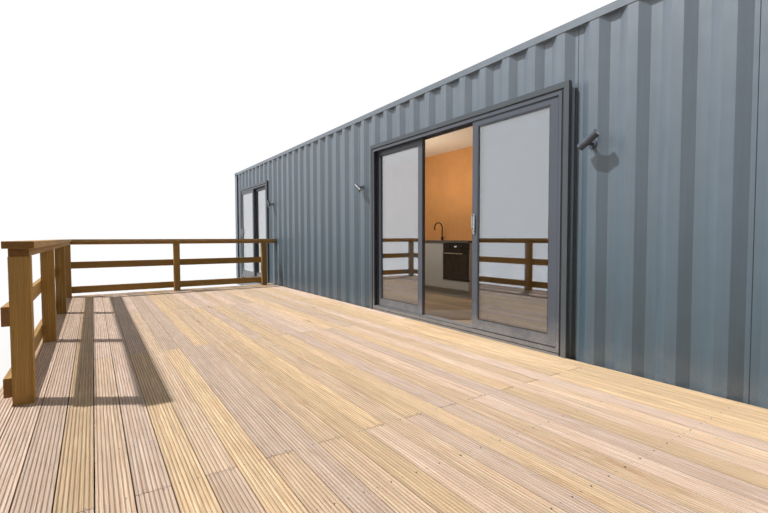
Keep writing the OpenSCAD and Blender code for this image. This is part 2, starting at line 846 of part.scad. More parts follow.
module oven() {
    strip_z = oven_top - strip_h;
    color([0.08, 0.08, 0.08]) {
        difference() {
            span([oven_x + panel_t, kit_y, oven_z], [kit_x1 - panel_t, room_back - oven_back, oven_top]);
            span([oven_x + panel_t + oven_wall, kit_y - eps, oven_z + oven_low],
                [kit_x1 - panel_t - oven_wall, room_back - 2 * oven_back, strip_z - oven_low / 2]);
        }
        span([oven_x + oven_side, front_y, strip_z], [kit_x1 - oven_side, kit_y, oven_top]);
        for (s = [-1, 1])
            translate([(oven_x + kit_x1 + s * knob_apart) / 2, front_y, strip_z + strip_h / 2])
                rotate([90, 0, 0]) cylinder(h = knob_out, d = knob_d, $fn = 32);
        for (x = [oven_x + oven_side, kit_x1 - oven_side - cheek_t])
            span([x, front_y - cheek_out, oven_z], [x + cheek_t, kit_y, oven_z + cheek_h]);
        oven_pin(oven_x + oven_side, 0, door_side + pin_in - oven_side);
        oven_pin(kit_x1 - door_side - pin_in, 0, door_side + pin_in - oven_side);
    }
}

// The flap's foot is cut back inside, so that it turns clear of the oven
bar_in = 60;
bar_down = 52;
bar_d = 16;
bar_out = 38;
module oven_door() {
    top = oven_top - strip_h - door_gap;
    inner = kit_y - door_gap;
    outer = front_y - door_out;
    section = [[outer, oven_z], [inner - corner_cut, oven_z], [inner, oven_z + corner_cut],
        [inner, top], [outer, top]];
    color([0.08, 0.08, 0.08]) difference() {
        union() {
            translate([oven_x + door_side, 0, 0]) rotate([90, 0, 90])
                linear_extrude(unit_w - 2 * door_side) polygon(section);
            translate([oven_x + bar_in, outer - bar_out, top - bar_down]) rotate([0, 90, 0])
                cylinder(h = unit_w - 2 * bar_in, d = bar_d, $fn = 24);
            for (x = [oven_x + bar_in + bar_d, kit_x1 - bar_in - bar_d])
                translate([x, outer + eps, top - bar_down]) rotate([90, 0, 0])
                    cylinder(h = bar_out + eps, d = bar_d, $fn = 24);
        }
        oven_pin(oven_x + door_side - eps, seat, pin_in + 2 * eps);
        oven_pin(kit_x1 - door_side - pin_in - eps, seat, pin_in + 2 * eps);
    }
}

// Deck: boards along the container on joists across it, on bearers that lie on the ground
function outer_posts() = [for (i = [0 : bal_bays]) far_post_x + i * bal_pitch];

module post_places() {
    for (x = outer_posts()) translate([x, outer_post_y, 0]) children();
    for (x = [far_post_x, near_post_x]) for (y = [wall_post_y, (wall_post_y + outer_post_y) / 2])
        translate([x, y, 0]) children();
}

joist_step = bal_pitch / joist_bays;
function joist_x(j) = far_post_x + bal_post + j * joist_step;

// A board's section: flat below, with ridges along its top
function board_section() =
    let (step = (board_w - ridge_w) / (board_ridges - 1), slope = 0.8 * ridge_h)
    concat([[board_w, 0], [0, 0]], [for (i = [0 : board_ridges - 1])
        for (p = [[0, 0], [ridge_w, 0], [ridge_w + slope, ridge_h], [step - slope, ridge_h]])
            if (i < board_ridges - 1 || p[1] == 0) [i * step + p[0], board_t - p[1]]]);

// Boards are cut over joists: even courses once and odd ones twice, so that the ends are staggered
function cuts(i) = [for (q = i % 2 == 0 ? [2] : [1, 3])
    joist_x(floor(q * bal_bays * joist_bays / 4)) + joist_t / 2];

post_play = 3;
module deck_boards() {
    color(timber) difference() {
        for (i = [0 : boards - 1]) {
            ends = concat([deck_far - end_gap / 2], cuts(i), [deck_near + end_gap / 2]);
            for (k = [0 : len(ends) - 2])
                translate([ends[k] + end_gap / 2, deck_in - board_w - i * (board_w + board_gap), board_z])
                    rotate([90, 0, 90]) linear_extrude(ends[k + 1] - ends[k] - end_gap)
                        polygon(board_section());
        }
        post_places() translate([-post_play, -post_play, board_z - eps])
            cube([bal_post + 2 * post_play, bal_post + 2 * post_play, board_t + 2 * eps]);
    }
}

module deck_joists() {
    n = floor((deck_near - deck_far - 2 * joist_t) / joist_step);
    color(timber) for (i = [0 : n]) if (joist_x(i) + joist_t < deck_near - joist_t)
        span([joist_x(i), deck_out + joist_t, joist_z], [joist_x(i) + joist_t, deck_in - joist_t, board_z]);
}

module deck_bearers() {
    color(timber) for (y = [deck_out + bearer_in, (deck_out + deck_in - bearer_w) / 2,
        deck_in - bearer_in - bearer_w])
        span([deck_far + bearer_in, y, 0], [deck_near - bearer_in, y + bearer_w, joist_z]);
}

module deck_rims() {
    color(timber) difference() {
        translate([deck_far, deck_out, joist_z])
            cube([deck_near - deck_far, deck_in - deck_out, joist_h]);
        translate([deck_far + joist_t, deck_out + joist_t, joist_z - eps])
            cube([deck_near - deck_far - 2 * joist_t, deck_in - deck_out - 2 * joist_t,
                joist_h + 2 * eps]);
    }
}

// Spacers between the deck's inner rim and the container's bottom rail
spacer_in = 10;
module deck_spacers() {
    n = floor((half_l - cast_l - deck_far) / (2 * joist_step));
    color(timber) for (i = [0 : n - 1])
        translate([joist_x(2 * i), deck_in, joist_z + spacer_in])
            cube([spacer_w, deck_gap + rail_in, sheet_low - joist_z - 2 * spacer_in]);
}

under_z = deck_z + bal_h - cap_t - under_h;
module balustrade_posts() {
    color(green_timber) post_places() cube([bal_post, bal_post, under_z]);
}

// Runs of the balustrade along the deck's outer edge: first and last post
function runs() = [[outer_posts()[0], outer_posts()[3]], [outer_posts()[4], outer_posts()[bal_bays]]];
function over(w) = (w - bal_post) / 2;

// A rail laid along all four runs: its width, height, level and shift from the post's middle
module rails(w, h, z, end) {
    y_mid = outer_post_y + bal_post / 2;
    for (r = runs()) translate([r[0] - end, y_mid - w / 2, z])
        cube([r[1] - r[0] + bal_post + 2 * end, w, h]);
    for (x = [far_post_x, near_post_x]) translate([x + bal_post / 2 - w / 2, y_mid + w / 2, z])
        cube([w, front - y_mid - w / 2, h]);
}

module balustrade_caps() color(timber) rails(cap_w, cap_t, deck_z + bal_h - cap_t, over(cap_w));
module balustrade_under_rails() color(green_timber) rails(under_w, under_h, under_z, over(under_w));

module balustrade_mid_rails() {
    color(green_timber) for (z = [deck_z + mid_low, deck_z + mid_high]) {
        for (r = runs()) translate([r[0], outer_post_y - mid_t, z])
            cube([r[1] - r[0] + bal_post, mid_t, mid_h]);
        translate([far_post_x - mid_t, outer_post_y, z])
            cube([mid_t, wall_post_y + bal_post - outer_post_y, mid_h]);
        translate([near_post_x + bal_post, outer_post_y, z])
            cube([mid_t, wall_post_y + bal_post - outer_post_y, mid_h]);
    }
}

corner_castings();
corner_posts();
top_side_rails();
bottom_side_rails();
end_rails();
cross_members();
roof_sheet();
floor_panel();
ceiling();
front_wall_far();
front_wall_middle();
front_wall_near();
front_wall_over_doors();
back_wall();
end_walls();
front_lining_far();
front_lining_middle();
front_lining_near();
front_lining_over_doors();
back_lining();
end_linings();
main_door_surround();
main_door_frame();
main_door_fixed_leaves();
main_door_fixed_glass();
main_door_sliding_leaf();
main_door_sliding_glass();
main_door_handle();
far_door_surround();
far_door_frame();
far_door_fixed_leaf();
far_door_fixed_glass();
far_door_sliding_leaf();
far_door_sliding_glass();
far_door_handle();
light_brackets();
light_head_near();
light_head_middle();
light_head_far();
kitchen_units();
kitchen_plinth();
worktop();
sink();
tap();
oven();
oven_door();
ceiling_lights();
deck_boards();
deck_joists();
deck_bearers();
deck_rims();
deck_spacers();
balustrade_posts();
balustrade_caps();
balustrade_under_rails();
balustrade_mid_rails();
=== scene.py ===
"""Finishes and fine detail of a shipping container cabin with its timber deck."""

import json
import math
import random

import bmesh
import bpy
from bpy.props import FloatProperty, FloatVectorProperty, IntProperty, PointerProperty
from mathutils import Matrix, Vector


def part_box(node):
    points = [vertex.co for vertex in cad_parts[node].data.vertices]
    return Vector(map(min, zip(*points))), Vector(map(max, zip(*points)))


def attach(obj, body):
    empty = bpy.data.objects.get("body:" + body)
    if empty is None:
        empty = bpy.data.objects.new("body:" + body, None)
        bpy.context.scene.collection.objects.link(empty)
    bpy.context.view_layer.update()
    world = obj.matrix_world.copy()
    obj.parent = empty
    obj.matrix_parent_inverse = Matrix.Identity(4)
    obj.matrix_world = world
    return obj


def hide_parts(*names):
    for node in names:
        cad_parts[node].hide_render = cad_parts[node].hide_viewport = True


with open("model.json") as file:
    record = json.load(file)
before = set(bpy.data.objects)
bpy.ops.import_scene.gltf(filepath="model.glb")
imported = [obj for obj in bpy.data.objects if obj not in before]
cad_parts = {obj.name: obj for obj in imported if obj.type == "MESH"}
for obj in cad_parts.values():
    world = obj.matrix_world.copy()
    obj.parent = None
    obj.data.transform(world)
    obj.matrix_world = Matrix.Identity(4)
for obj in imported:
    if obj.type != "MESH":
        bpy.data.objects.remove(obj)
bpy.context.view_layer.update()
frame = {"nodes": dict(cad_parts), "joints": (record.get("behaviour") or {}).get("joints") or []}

bl_info = {
    "name": "Container Cabin",
    "version": (1, 0, 0),
    "blender": (4, 5, 0),
    "location": "3D View > Sidebar > Cabin",
    "description": "Finishes and fine detail of a container cabin and its timber deck",
    "category": "Object",
}

MM = 0.001
WHITE = (1.0, 1.0, 1.0, 1.0)
BLACK = (0.0, 0.0, 0.0, 1.0)
FACING_FRONT = (math.pi / 2, 0.0, 0.0)

# The rib line of the container's long walls
RIB_PITCH = 278 * MM
RIB_FLAT = 72 * MM
RIB_VALLEY = 70 * MM
RIB_DEPTH = 36 * MM
RIB_START = 50 * MM
RIB_SLOPE = (RIB_PITCH - RIB_FLAT - RIB_VALLEY) / 2


def linear(*levels):
    """A colour given in levels from 0 to 255 as the shader's linear values"""
    return tuple(((v / 255 + 0.055) / 1.055) ** 2.4 for v in levels)


def rgba(colour):
    """A colour with full cover"""
    return (*colour[:3], 1.0)


# Wiring of node trees

class Graph:
    """Adds and wires the nodes of one node tree"""

    def __init__(self, tree):
        self.tree = tree

    def feed(self, socket, value):
        """Link a socket, or set its constant"""
        if isinstance(value, bpy.types.NodeSocket):
            self.tree.links.new(value, socket)
        else:
            socket.default_value = value

    def node(self, kind, inputs=(), **settings):
        """A new node with its settings and inputs"""
        made = self.tree.nodes.new(kind)
        for key, value in settings.items():
            setattr(made, key, value)
        for key, value in dict(inputs).items():
            self.feed(made.inputs[key], value)
        return made

    def math(self, operation, *values, clamp=False):
        """The result of one sum"""
        made = self.node("ShaderNodeMath", enumerate(values), operation=operation, use_clamp=clamp)
        return made.outputs[0]

    def times(self, first, second, clamp=False):
        """Two values multiplied"""
        return self.math("MULTIPLY", first, second, clamp=clamp)

    def times_plus(self, first, second, third, clamp=False):
        """Two values multiplied, and a third added"""
        return self.math("MULTIPLY_ADD", first, second, third, clamp=clamp)

    def plus(self, first, second):
        """Two values added"""
        return self.math("ADD", first, second)

    def vector(self, operation, *values):
        """The result of one sum of vectors"""
        made = self.node("ShaderNodeVectorMath", enumerate(values), operation=operation)
        return made.outputs[0]

    def stretched(self, place, factors):
        """A place with a factor for each axis"""
        return self.vector("MULTIPLY", place, factors)

    def scaled(self, value, factor):
        """A vector or colour times one number"""
        made = self.node("ShaderNodeVectorMath", {0: value, "Scale": factor}, operation="SCALE")
        return made.outputs[0]

    def mix(self, factor, first, second):
        """A colour between two colours"""
        made = self.node("ShaderNodeMix", {0: factor, 6: first, 7: second}, data_type="RGBA")
        return made.outputs[2]

    def spread(self, value, low, high, to_low=0.0, to_high=1.0):
        """A value moved smoothly from one range to another"""
        made = self.node("ShaderNodeMapRange", {0: value, 1: low, 2: high, 3: to_low, 4: to_high},
                         interpolation_type="SMOOTHSTEP")
        return made.outputs[0]

    def noise(self, place, scale, detail=2.0, roughness=0.5):
        """Cloudy noise from 0 to 1"""
        made = self.node("ShaderNodeTexNoise", {"Vector": place, "Scale": scale, "Detail": detail,
                                                "Roughness": roughness})
        return made.outputs["Fac"]

    def split(self, vector):
        """The three parts of a vector"""
        return self.node("ShaderNodeSeparateXYZ", {0: vector}).outputs

    def join(self, x, y, z):
        """A vector of three parts"""
        return self.node("ShaderNodeCombineXYZ", {0: x, 1: y, 2: z}).outputs[0]

    def blend(self, factor, first, second):
        """A shader between two shaders"""
        return self.node("ShaderNodeMixShader", {0: factor, 1: first, 2: second}).outputs[0]

    def show(self, output, shader):
        """Make a shader the one that is seen"""
        self.feed(self.tree.nodes[output].inputs["Surface"], shader)

    def give(self, result, **parts):
        """Link what a group puts out to its output node"""
        for name, value in parts.items():
            self.feed(result.inputs[name], value)


SOCKETS = {"value": "NodeSocketFloat", "vector": "NodeSocketVector", "colour": "NodeSocketColor",
           "count": "NodeSocketInt", "finish": "NodeSocketMaterial", "geometry": "NodeSocketGeometry"}


def new_group(name, kind, inputs, outputs):
    """A node group with named sockets, its graph, its inputs by name and its output node"""
    tree = bpy.data.node_groups.new(name, kind)
    for label, sort in inputs:
        tree.interface.new_socket(label, in_out="INPUT", socket_type=SOCKETS[sort])
    for label, sort in outputs:
        tree.interface.new_socket(label, in_out="OUTPUT", socket_type=SOCKETS[sort])
    graph = Graph(tree)
    given = graph.node("NodeGroupInput").outputs
    return tree, graph, given, graph.node("NodeGroupOutput")


# Shader groups

def finish_group(name, inputs):
    """A shader group that puts out a colour, a roughness and a height"""
    return new_group(name, "ShaderNodeTree", inputs,
                     [("Colour", "colour"), ("Roughness", "value"), ("Height", "value")])


def coat_group():
    """Rolled paint with mottling, streaks, painted sky light and sheen that make it paler up high,
    dirt at the foot and fine texture
    """
    tree, graph, given, result = finish_group(
        "Weathered Coat",
        [("Place", "vector"), ("Coat", "colour"), ("Mottle", "value"), ("Streaks", "value"),
         ("Dirt", "value"), ("Foot", "value"), ("Sky_Sheen", "value")])
    place = given["Place"]
    clouds = graph.noise(place, 1.7, 4.0, 0.6)
    patches = graph.noise(place, 9.0, 3.0, 0.55)
    long_place = graph.stretched(place, (14.0, 14.0, 0.7))
    runs = graph.noise(long_place, 2.4, 5.0, 0.62)
    fine = graph.noise(place, 320.0, 2.0)
    tone = graph.plus(graph.spread(clouds, 0.3, 0.7, -0.6, 0.6),
                      graph.spread(patches, 0.3, 0.7, -0.4, 0.4))
    level = graph.times_plus(tone, given["Mottle"], 1.0)
    streak = graph.spread(runs, 0.3, 0.72, -1.0, 1.0)
    level = graph.times_plus(streak, given["Streaks"], level)
    height = graph.split(place)[2]
    over_foot = graph.math("SUBTRACT", height, given["Foot"])
    # Painted sky light and sheen: the coat turns towards a pale colour the higher it stands over the
    # foot
    sky_sheen = graph.times(graph.spread(over_foot, 0.2, 3.2), given["Sky_Sheen"])
    sky_lit_coat = graph.mix(sky_sheen, given["Coat"], rgba(linear(134, 142, 153)))
    painted = graph.scaled(sky_lit_coat, level)
    low = graph.spread(graph.times_plus(patches, 0.3, over_foot), 0.05, 0.45, 1.0, 0.0)
    specks = graph.spread(graph.noise(place, 90.0, 4.0, 0.7), 0.48, 0.66)
    dirt = graph.times(graph.times(low, given["Dirt"]), graph.times_plus(specks, 0.5, 0.5),
                       clamp=True)
    colour = graph.mix(dirt, painted, rgba(linear(172, 166, 158)))
    rough = graph.times_plus(patches, 0.16, 0.3)
    rough = graph.times_plus(dirt, 0.4, rough, clamp=True)
    relief = graph.times_plus(patches, 0.35, graph.times(fine, 0.5))
    graph.give(result, Colour=colour, Roughness=rough, Height=relief)
    return tree


def timber_group():
    """Sawn softwood: growth rings round a pith below the face, fibres, knots and a weathered skin"""
    tree, graph, given, result = finish_group(
        "Timber Grain",
        [("Place", "vector"), ("Seed", "value"), ("Pale", "colour"), ("Tint", "colour"),
         ("Dark", "colour"), ("Rings", "value"), ("Knots", "value"), ("Weather", "value")])
    chance = graph.node("ShaderNodeTexWhiteNoise", {"W": given["Seed"]}, noise_dimensions="1D")
    draw = graph.split(chance.outputs["Color"])
    log_shift = graph.scaled(chance.outputs["Color"], 37.0)
    in_log = graph.vector("ADD", given["Place"], log_shift)
    across = graph.split(given["Place"])
    bend = graph.noise(graph.stretched(in_log, (0.55, 3.0, 3.0)), 1.0, 3.0)
    knot_cells = graph.node("ShaderNodeTexVoronoi",
                            {"Vector": graph.stretched(in_log, (1.15, 6.5, 6.5)),
                             "Scale": 1.0, "Randomness": 1.0})
    allowed = graph.math("LESS_THAN", graph.split(knot_cells.outputs["Color"])[0], given["Knots"])
    near = knot_cells.outputs["Distance"]
    knot = graph.times(graph.spread(near, 0.05, 0.1, 1.0, 0.0), allowed)
    swirl = graph.times(graph.spread(near, 0.05, 0.42, 1.0, 0.0), allowed)
    side = graph.times_plus(draw[0], 0.14, graph.math("SUBTRACT", across[1], 0.07))
    depth = graph.times_plus(draw[1], 0.09, graph.plus(across[2], 0.02))
    radius = graph.math("SQRT", graph.plus(graph.times(side, side), graph.times(depth, depth)))
    radius = graph.times_plus(bend, 0.06, radius)
    radius = graph.times_plus(swirl, 0.012, radius)
    turns = graph.times(radius, given["Rings"])
    wave = graph.times_plus(graph.math("SINE", turns), 0.5, 0.5)
    late = graph.times(wave, wave)
    fibre = graph.noise(graph.stretched(in_log, (5.0, 330.0, 330.0)), 1.0, 4.0, 0.6)
    stains = graph.noise(graph.stretched(in_log, (1.6, 9.0, 9.0)), 1.0, 4.0, 0.6)
    body = graph.mix(graph.spread(draw[2], 0.15, 0.85), given["Pale"], given["Tint"])
    ringed = graph.mix(graph.times_plus(late, 0.46, graph.times(swirl, 0.25)), body, given["Dark"])
    streaks = graph.noise(graph.stretched(in_log, (0.9, 42.0, 42.0)), 1.0, 5.0, 0.65)
    level = graph.spread(fibre, 0.25, 0.75, 0.8, 1.14)
    level = graph.times(level, graph.spread(streaks, 0.3, 0.7, 0.8, 1.1))
    level = graph.times(level, graph.spread(draw[1], 0.0, 1.0, 0.84, 1.08))
    sawn = graph.scaled(ringed, level)
    grey = graph.times(graph.spread(stains, 0.42, 0.7), given["Weather"])
    sawn = graph.mix(grey, sawn, rgba(linear(150, 140, 128)))
    colour = graph.mix(graph.times(knot, 0.85), sawn, rgba(linear(92, 58, 34)))
    rough = graph.spread(fibre, 0.2, 0.8, 0.85, 0.62)
    relief = graph.times_plus(late, 0.35, graph.times(fibre, 0.6))
    relief = graph.times_plus(knot, 0.4, relief)
    graph.give(result, Colour=colour, Roughness=rough, Height=relief)
    return tree


def lining_group():
    """Emulsion or laminate on board: a fine stipple, faint marks and a slow change of tone"""
    tree, graph, given, result = finish_group(
        "Board Finish", [("Place", "vector"), ("Coat", "colour"), ("Marks", "value")])
    stipple = graph.noise(given["Place"], 260.0, 3.0, 0.6)
    clouds = graph.noise(given["Place"], 2.6, 4.0, 0.6)
    marks = graph.noise(graph.stretched(given["Place"], (3.0, 3.0, 1.0)), 6.0, 5.0, 0.7)
    tone = graph.plus(graph.spread(clouds, 0.3, 0.7, -1.0, 1.0),
                      graph.spread(marks, 0.3, 0.7, -0.7, 0.7))
    level = graph.times_plus(tone, given["Marks"], 1.0)
    graph.give(result, Colour=graph.scaled(given["Coat"], level),
               Roughness=graph.spread(marks, 0.3, 0.7, 0.5, 0.72), Height=stipple)
    return tree


def brushed_group():
    """Brushed metal: fine lines along one direction and faint smears"""
    tree, graph, given, result = finish_group(
        "Brushed Metal", [("Place", "vector"), ("Metal", "colour")])
    lines = graph.noise(graph.stretched(given["Place"], (900.0, 900.0, 12.0)), 1.0, 3.0)
    smears = graph.noise(given["Place"], 22.0, 3.0, 0.6)
    level = graph.spread(lines, 0.3, 0.7, 0.9, 1.06)
    graph.give(result, Colour=graph.scaled(given["Metal"], level),
               Roughness=graph.spread(smears, 0.3, 0.75, 0.24, 0.42), Height=lines)
    return tree


# Geometry node trees

DRIVE_DEPTH = 0.4 * MM


def screw_tree():
    """Round screw heads, one at each point, each with a dark disc on top where the drive's recess is:
    painted shade
    """
    tree, graph, given, result = new_group(
        "Screw Heads", "GeometryNodeTree",
        [("Points", "geometry"), ("Head Width", "value"), ("Head Height", "value"),
         ("Drive Width", "value"), ("Facing", "vector"), ("Turn Seed", "count"),
         ("Finish", "finish"), ("Drive Finish", "finish")],
        [("Geometry", "geometry")])
    head_r = graph.times(given["Head Width"], 0.5)
    drive_r = graph.times(given["Drive Width"], 0.5)
    head = graph.node("GeometryNodeMeshCylinder",
                      {"Vertices": 10, "Radius": head_r, "Depth": given["Head Height"]})
    drive = graph.node("GeometryNodeMeshCylinder",
                       {"Vertices": 6, "Radius": drive_r, "Depth": DRIVE_DEPTH})
    marked = graph.node("GeometryNodeStoreNamedAttribute",
                        {"Geometry": drive.outputs["Mesh"], "Name": "drive", "Value": True},
                        data_type="BOOLEAN", domain="FACE")
    lift = graph.join(0.0, 0.0, graph.times(given["Head Height"], 0.5))
    raised = graph.node("GeometryNodeTransform",
                        {"Geometry": marked.outputs[0], "Translation": lift})
    screw = graph.node("GeometryNodeJoinGeometry", {0: head.outputs["Mesh"]})
    graph.feed(screw.inputs[0], raised.outputs[0])
    facing = graph.node("FunctionNodeEulerToRotation", {0: given["Facing"]})
    placed = graph.node("GeometryNodeInstanceOnPoints",
                        {"Points": given["Points"], "Instance": screw.outputs[0],
                         "Rotation": facing.outputs[0]})
    angle = graph.node("FunctionNodeRandomValue", {2: 0.0, 3: math.tau, 8: given["Turn Seed"]},
                       data_type="FLOAT")
    turned = graph.node("GeometryNodeRotateInstances",
                        {"Instances": placed.outputs[0],
                         "Rotation": graph.join(0.0, 0.0, angle.outputs[1])})
    real = graph.node("GeometryNodeRealizeInstances", {0: turned.outputs[0]})
    metal = graph.node("GeometryNodeSetMaterial",
                       {"Geometry": real.outputs[0], "Material": given["Finish"]})
    is_drive = graph.node("GeometryNodeInputNamedAttribute", {"Name": "drive"},
                          data_type="BOOLEAN")
    # The drive is given a near black finish: painted shade of its recess
    dark = graph.node("GeometryNodeSetMaterial",
                      {"Geometry": metal.outputs[0], "Selection": is_drive.outputs[0],
                       "Material": given["Drive Finish"]})
    graph.feed(result.inputs[0], dark.outputs[0])
    return tree


def bead_tree():
    """A round bead along every run of edges"""
    tree, graph, given, result = new_group(
        "Bead Runs", "GeometryNodeTree",
        [("Runs", "geometry"), ("Bead Width", "value"), ("Sides", "count"), ("Finish", "finish")],
        [("Geometry", "geometry")])
    path = graph.node("GeometryNodeMeshToCurve", {0: given["Runs"]})
    ring = graph.node("GeometryNodeCurvePrimitiveCircle",
                      {"Resolution": given["Sides"],
                       "Radius": graph.times(given["Bead Width"], 0.5)})
    swept = graph.node("GeometryNodeCurveToMesh",
                       {"Curve": path.outputs[0], "Profile Curve": ring.outputs[0],
                        "Fill Caps": True})
    real = graph.node("GeometryNodeRealizeInstances", {0: swept.outputs[0]})
    done = graph.node("GeometryNodeSetMaterial",
                      {"Geometry": real.outputs[0], "Material": given["Finish"]})
    graph.feed(result.inputs[0], done.outputs[0])
    return tree


def once(kind, build):
    """A node group that is built the first time that it is asked for"""
    return bpy.data.node_groups.get(kind) or build()


# Objects and meshes

EASED_FROM = 30
SHARP_FROM = 35
BEAD_SIDES = 6


def new_object(name, mesh):
    """An object at the origin that holds a mesh"""
    made = bpy.data.objects.new(name, mesh)
    bpy.context.scene.collection.objects.link(made)
    return made


def grow(name, build, source, **inputs):
    """Run a geometry node tree on a mesh and keep the plain result"""
    made = new_object(name, source)
    shape = made.modifiers.new("Shape", "NODES")
    shape.node_group = build()
    labels = {key.replace("_", " ").title(): value for key, value in inputs.items()}
    for item in shape.node_group.interface.items_tree:
        if item.in_out == "INPUT" and item.name in labels:
            shape[item.identifier] = labels[item.name]
    ready = made.evaluated_get(bpy.context.evaluated_depsgraph_get())
    plain = bpy.data.meshes.new_from_object(ready)
    made.modifiers.clear()
    made.data = plain
    plain.name = name
    if not plain.polygons:
        raise RuntimeError(f"{name} came out empty")
    return made


def screws(name, points, finish, drive_finish, width, facing=(0.0, 0.0, 0.0), seed=1):
    """A screw head at every point, facing up unless it is turned"""
    mesh = bpy.data.meshes.new(name)
    mesh.from_pydata(points, [], [])
    return grow(name, lambda: once("Screw Heads", screw_tree), mesh, head_width=width,
                head_height=0.16 * width, drive_width=0.42 * width, facing=facing,
                turn_seed=seed, finish=finish, drive_finish=drive_finish)


def beads(name, runs, finish, width):
    """A round bead along each run of points; a run that ends where it starts is closed"""
    points = []
    edges = []
    for run in runs:
        closed = (Vector(run[0]) - Vector(run[-1])).length < MM
        first = len(points)
        kept = run[:-1] if closed else run
        points += kept
        edges += [(first + i, first + i + 1) for i in range(len(kept) - 1)]
        if closed:
            edges.append((first + len(kept) - 1, first))
    mesh = bpy.data.meshes.new(name)
    mesh.from_pydata(points, edges, [])
    made = grow(name, lambda: once("Bead Runs", bead_tree), mesh, bead_width=width,
                sides=BEAD_SIDES, finish=finish)
    made.data.shade_smooth()
    return made


def keep(piece, body, slot, *replaced):
    """Let a piece ride on a body and hide the nodes that it stands for; the finish slot is not used"""
    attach(piece, body)
    if replaced:
        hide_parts(*replaced)


def solid_boxes(node):
    """The lowest and highest corner of each separate solid of a node, from far to near"""
    bm = bmesh.new()
    bm.from_mesh(frame["nodes"][node].data)
    bmesh.ops.remove_doubles(bm, verts=bm.verts, dist=0.01 * MM)
    boxes = [box_of(group) for group in vertex_groups(bm)]
    bm.free()
    return sorted(boxes, key=lambda box: (round(box[0].x, 4), round(box[0].y, 4)))


def box_of(verts):
    """The lowest and highest corner of some vertices"""
    low = Vector([min(v.co[axis] for v in verts) for axis in range(3)])
    high = Vector([max(v.co[axis] for v in verts) for axis in range(3)])
    return low, high


def vertex_groups(bm):
    """The vertices of each connected part of a mesh"""
    seen = set()
    groups = []
    for start in bm.verts:
        if start in seen:
            continue
        seen.add(start)
        group = [start]
        for vert in group:
            for edge in vert.link_edges:
                other = edge.other_vert(vert)
                if other not in seen:
                    seen.add(other)
                    group.append(other)
        groups.append(group)
    return groups


def add_box(bm, low, high):
    """A box between two corners, added to a mesh in the making"""
    size = Vector(high) - Vector(low)
    middle = (Vector(high) + Vector(low)) / 2
    return bmesh.ops.create_cube(bm, size=1.0, matrix=Matrix.LocRotScale(middle, None, size))["verts"]


def ease(bm, width, segments=1):
    """Round over the sharp edges of a mesh"""
    sharp = [e for e in bm.edges if len(e.link_faces) == 2
             and e.calc_face_angle(0.0) > math.radians(EASED_FROM)]
    bmesh.ops.bevel(bm, geom=sharp, offset=width, segments=segments, profile=0.5,
                    affect="EDGES", clamp_overlap=True)


def to_object(name, bm, finish):
    """Close a mesh in the making and give it its finish"""
    bmesh.ops.recalc_face_normals(bm, faces=bm.faces)
    mesh = bpy.data.meshes.new(name)
    bm.to_mesh(mesh)
    bm.free()
    mesh.materials.append(finish)
    return new_object(name, mesh)


def boxes_object(name, boxes, finish, eased=0.0):
    """One object of several boxes with eased edges"""
    bm = bmesh.new()
    for low, high in boxes:
        add_box(bm, low, high)
    if eased:
        ease(bm, eased)
    return to_object(name, bm, finish)


def turned_object(name, profile, places, finish, sides=32):
    """Copies of a turned piece: an outline of radius and height, set at each place"""
    bm = bmesh.new()
    for place in places:
        rings = []
        for radius, height in profile:
            count = 1 if radius == 0 else sides
            rings.append([bm.verts.new(place @ Vector((
                radius * math.cos(math.tau * i / sides),
                radius * math.sin(math.tau * i / sides), height))) for i in range(count)])
        for first, second in zip(rings, rings[1:]):
            for i in range(sides):
                ring = [first[i % len(first)], first[(i + 1) % len(first)],
                        second[(i + 1) % len(second)], second[i % len(second)]]
                corners = list(dict.fromkeys(ring))
                if len(corners) > 2:
                    bm.faces.new(corners)
    made = to_object(name, bm, finish)
    made.data.shade_smooth()
    made.data.set_sharp_from_angle(angle=math.radians(SHARP_FROM))
    return made


def in_mm(*outline):
    """An outline whose radii and heights are given in millimetres"""
    return [(radius * MM, height * MM) for radius, height in outline]


def over_middle(low, high, z):
    """The place at a height over the middle of a box"""
    return Matrix.Translation(((low.x + high.x) / 2, (low.y + high.y) / 2, z))


# Timbers

def mark_timber(group, seed, place_layer, seed_layer):
    """Give one timber its place on the log: along, across and up from its own middle"""
    low, high = box_of(group)
    size = high - low
    along = max(range(3), key=lambda axis: size[axis])
    across, up = [axis for axis in range(3) if axis != along]
    middle = (low + high) / 2
    for vert in group:
        part = vert.co - middle
        vert[place_layer] = Vector((part[along], part[across], part[up]))
        vert[seed_layer] = seed
        for face in vert.link_faces:
            if abs(face.normal[along]) > 0.9:
                face.material_index = 1


def timber_object(name, bm, finish, ends, eased, seed, segments=1):
    """Ease the edges of some timbers, show their end grain and give each its own place on the log"""
    ease(bm, eased, segments)
    bm.normal_update()
    place_layer = bm.verts.layers.float_vector.new("timber_place")
    seed_layer = bm.verts.layers.float.new("timber_seed")
    rng = random.Random(seed)
    for group in vertex_groups(bm):
        mark_timber(group, rng.uniform(1.0, 99.0), place_layer, seed_layer)
    made = to_object(name, bm, finish)
    made.data.materials.append(ends)
    return made


def timber_copy(name, node, finish, ends, eased, seed):
    """The timbers of a node with eased edges"""
    bm = bmesh.new()
    bm.from_mesh(frame["nodes"][node].data)
    bmesh.ops.remove_doubles(bm, verts=bm.verts, dist=0.01 * MM)
    bmesh.ops.dissolve_limit(bm, angle_limit=math.radians(1), verts=bm.verts, edges=bm.edges)
    return timber_object(name, bm, finish, ends, eased, seed)


def timber_boxes(name, boxes, finish, ends, eased, seed):
    """Squared timbers between given corners, with eased edges"""
    bm = bmesh.new()
    for low, high in boxes:
        add_box(bm, low, high)
    return timber_object(name, bm, finish, ends, eased, seed, segments=2)


# Materials

SUN_COAT_IOR = 2.3
GROOVE_FLOOR = 3 * MM
GROOVE_LIP = 0.6 * MM


def new_finish(name):
    """A new material with its graph and surface shader"""
    made = bpy.data.materials.new(name)
    made.use_nodes = True
    return made, Graph(made.node_tree), made.node_tree.nodes["Principled BSDF"]


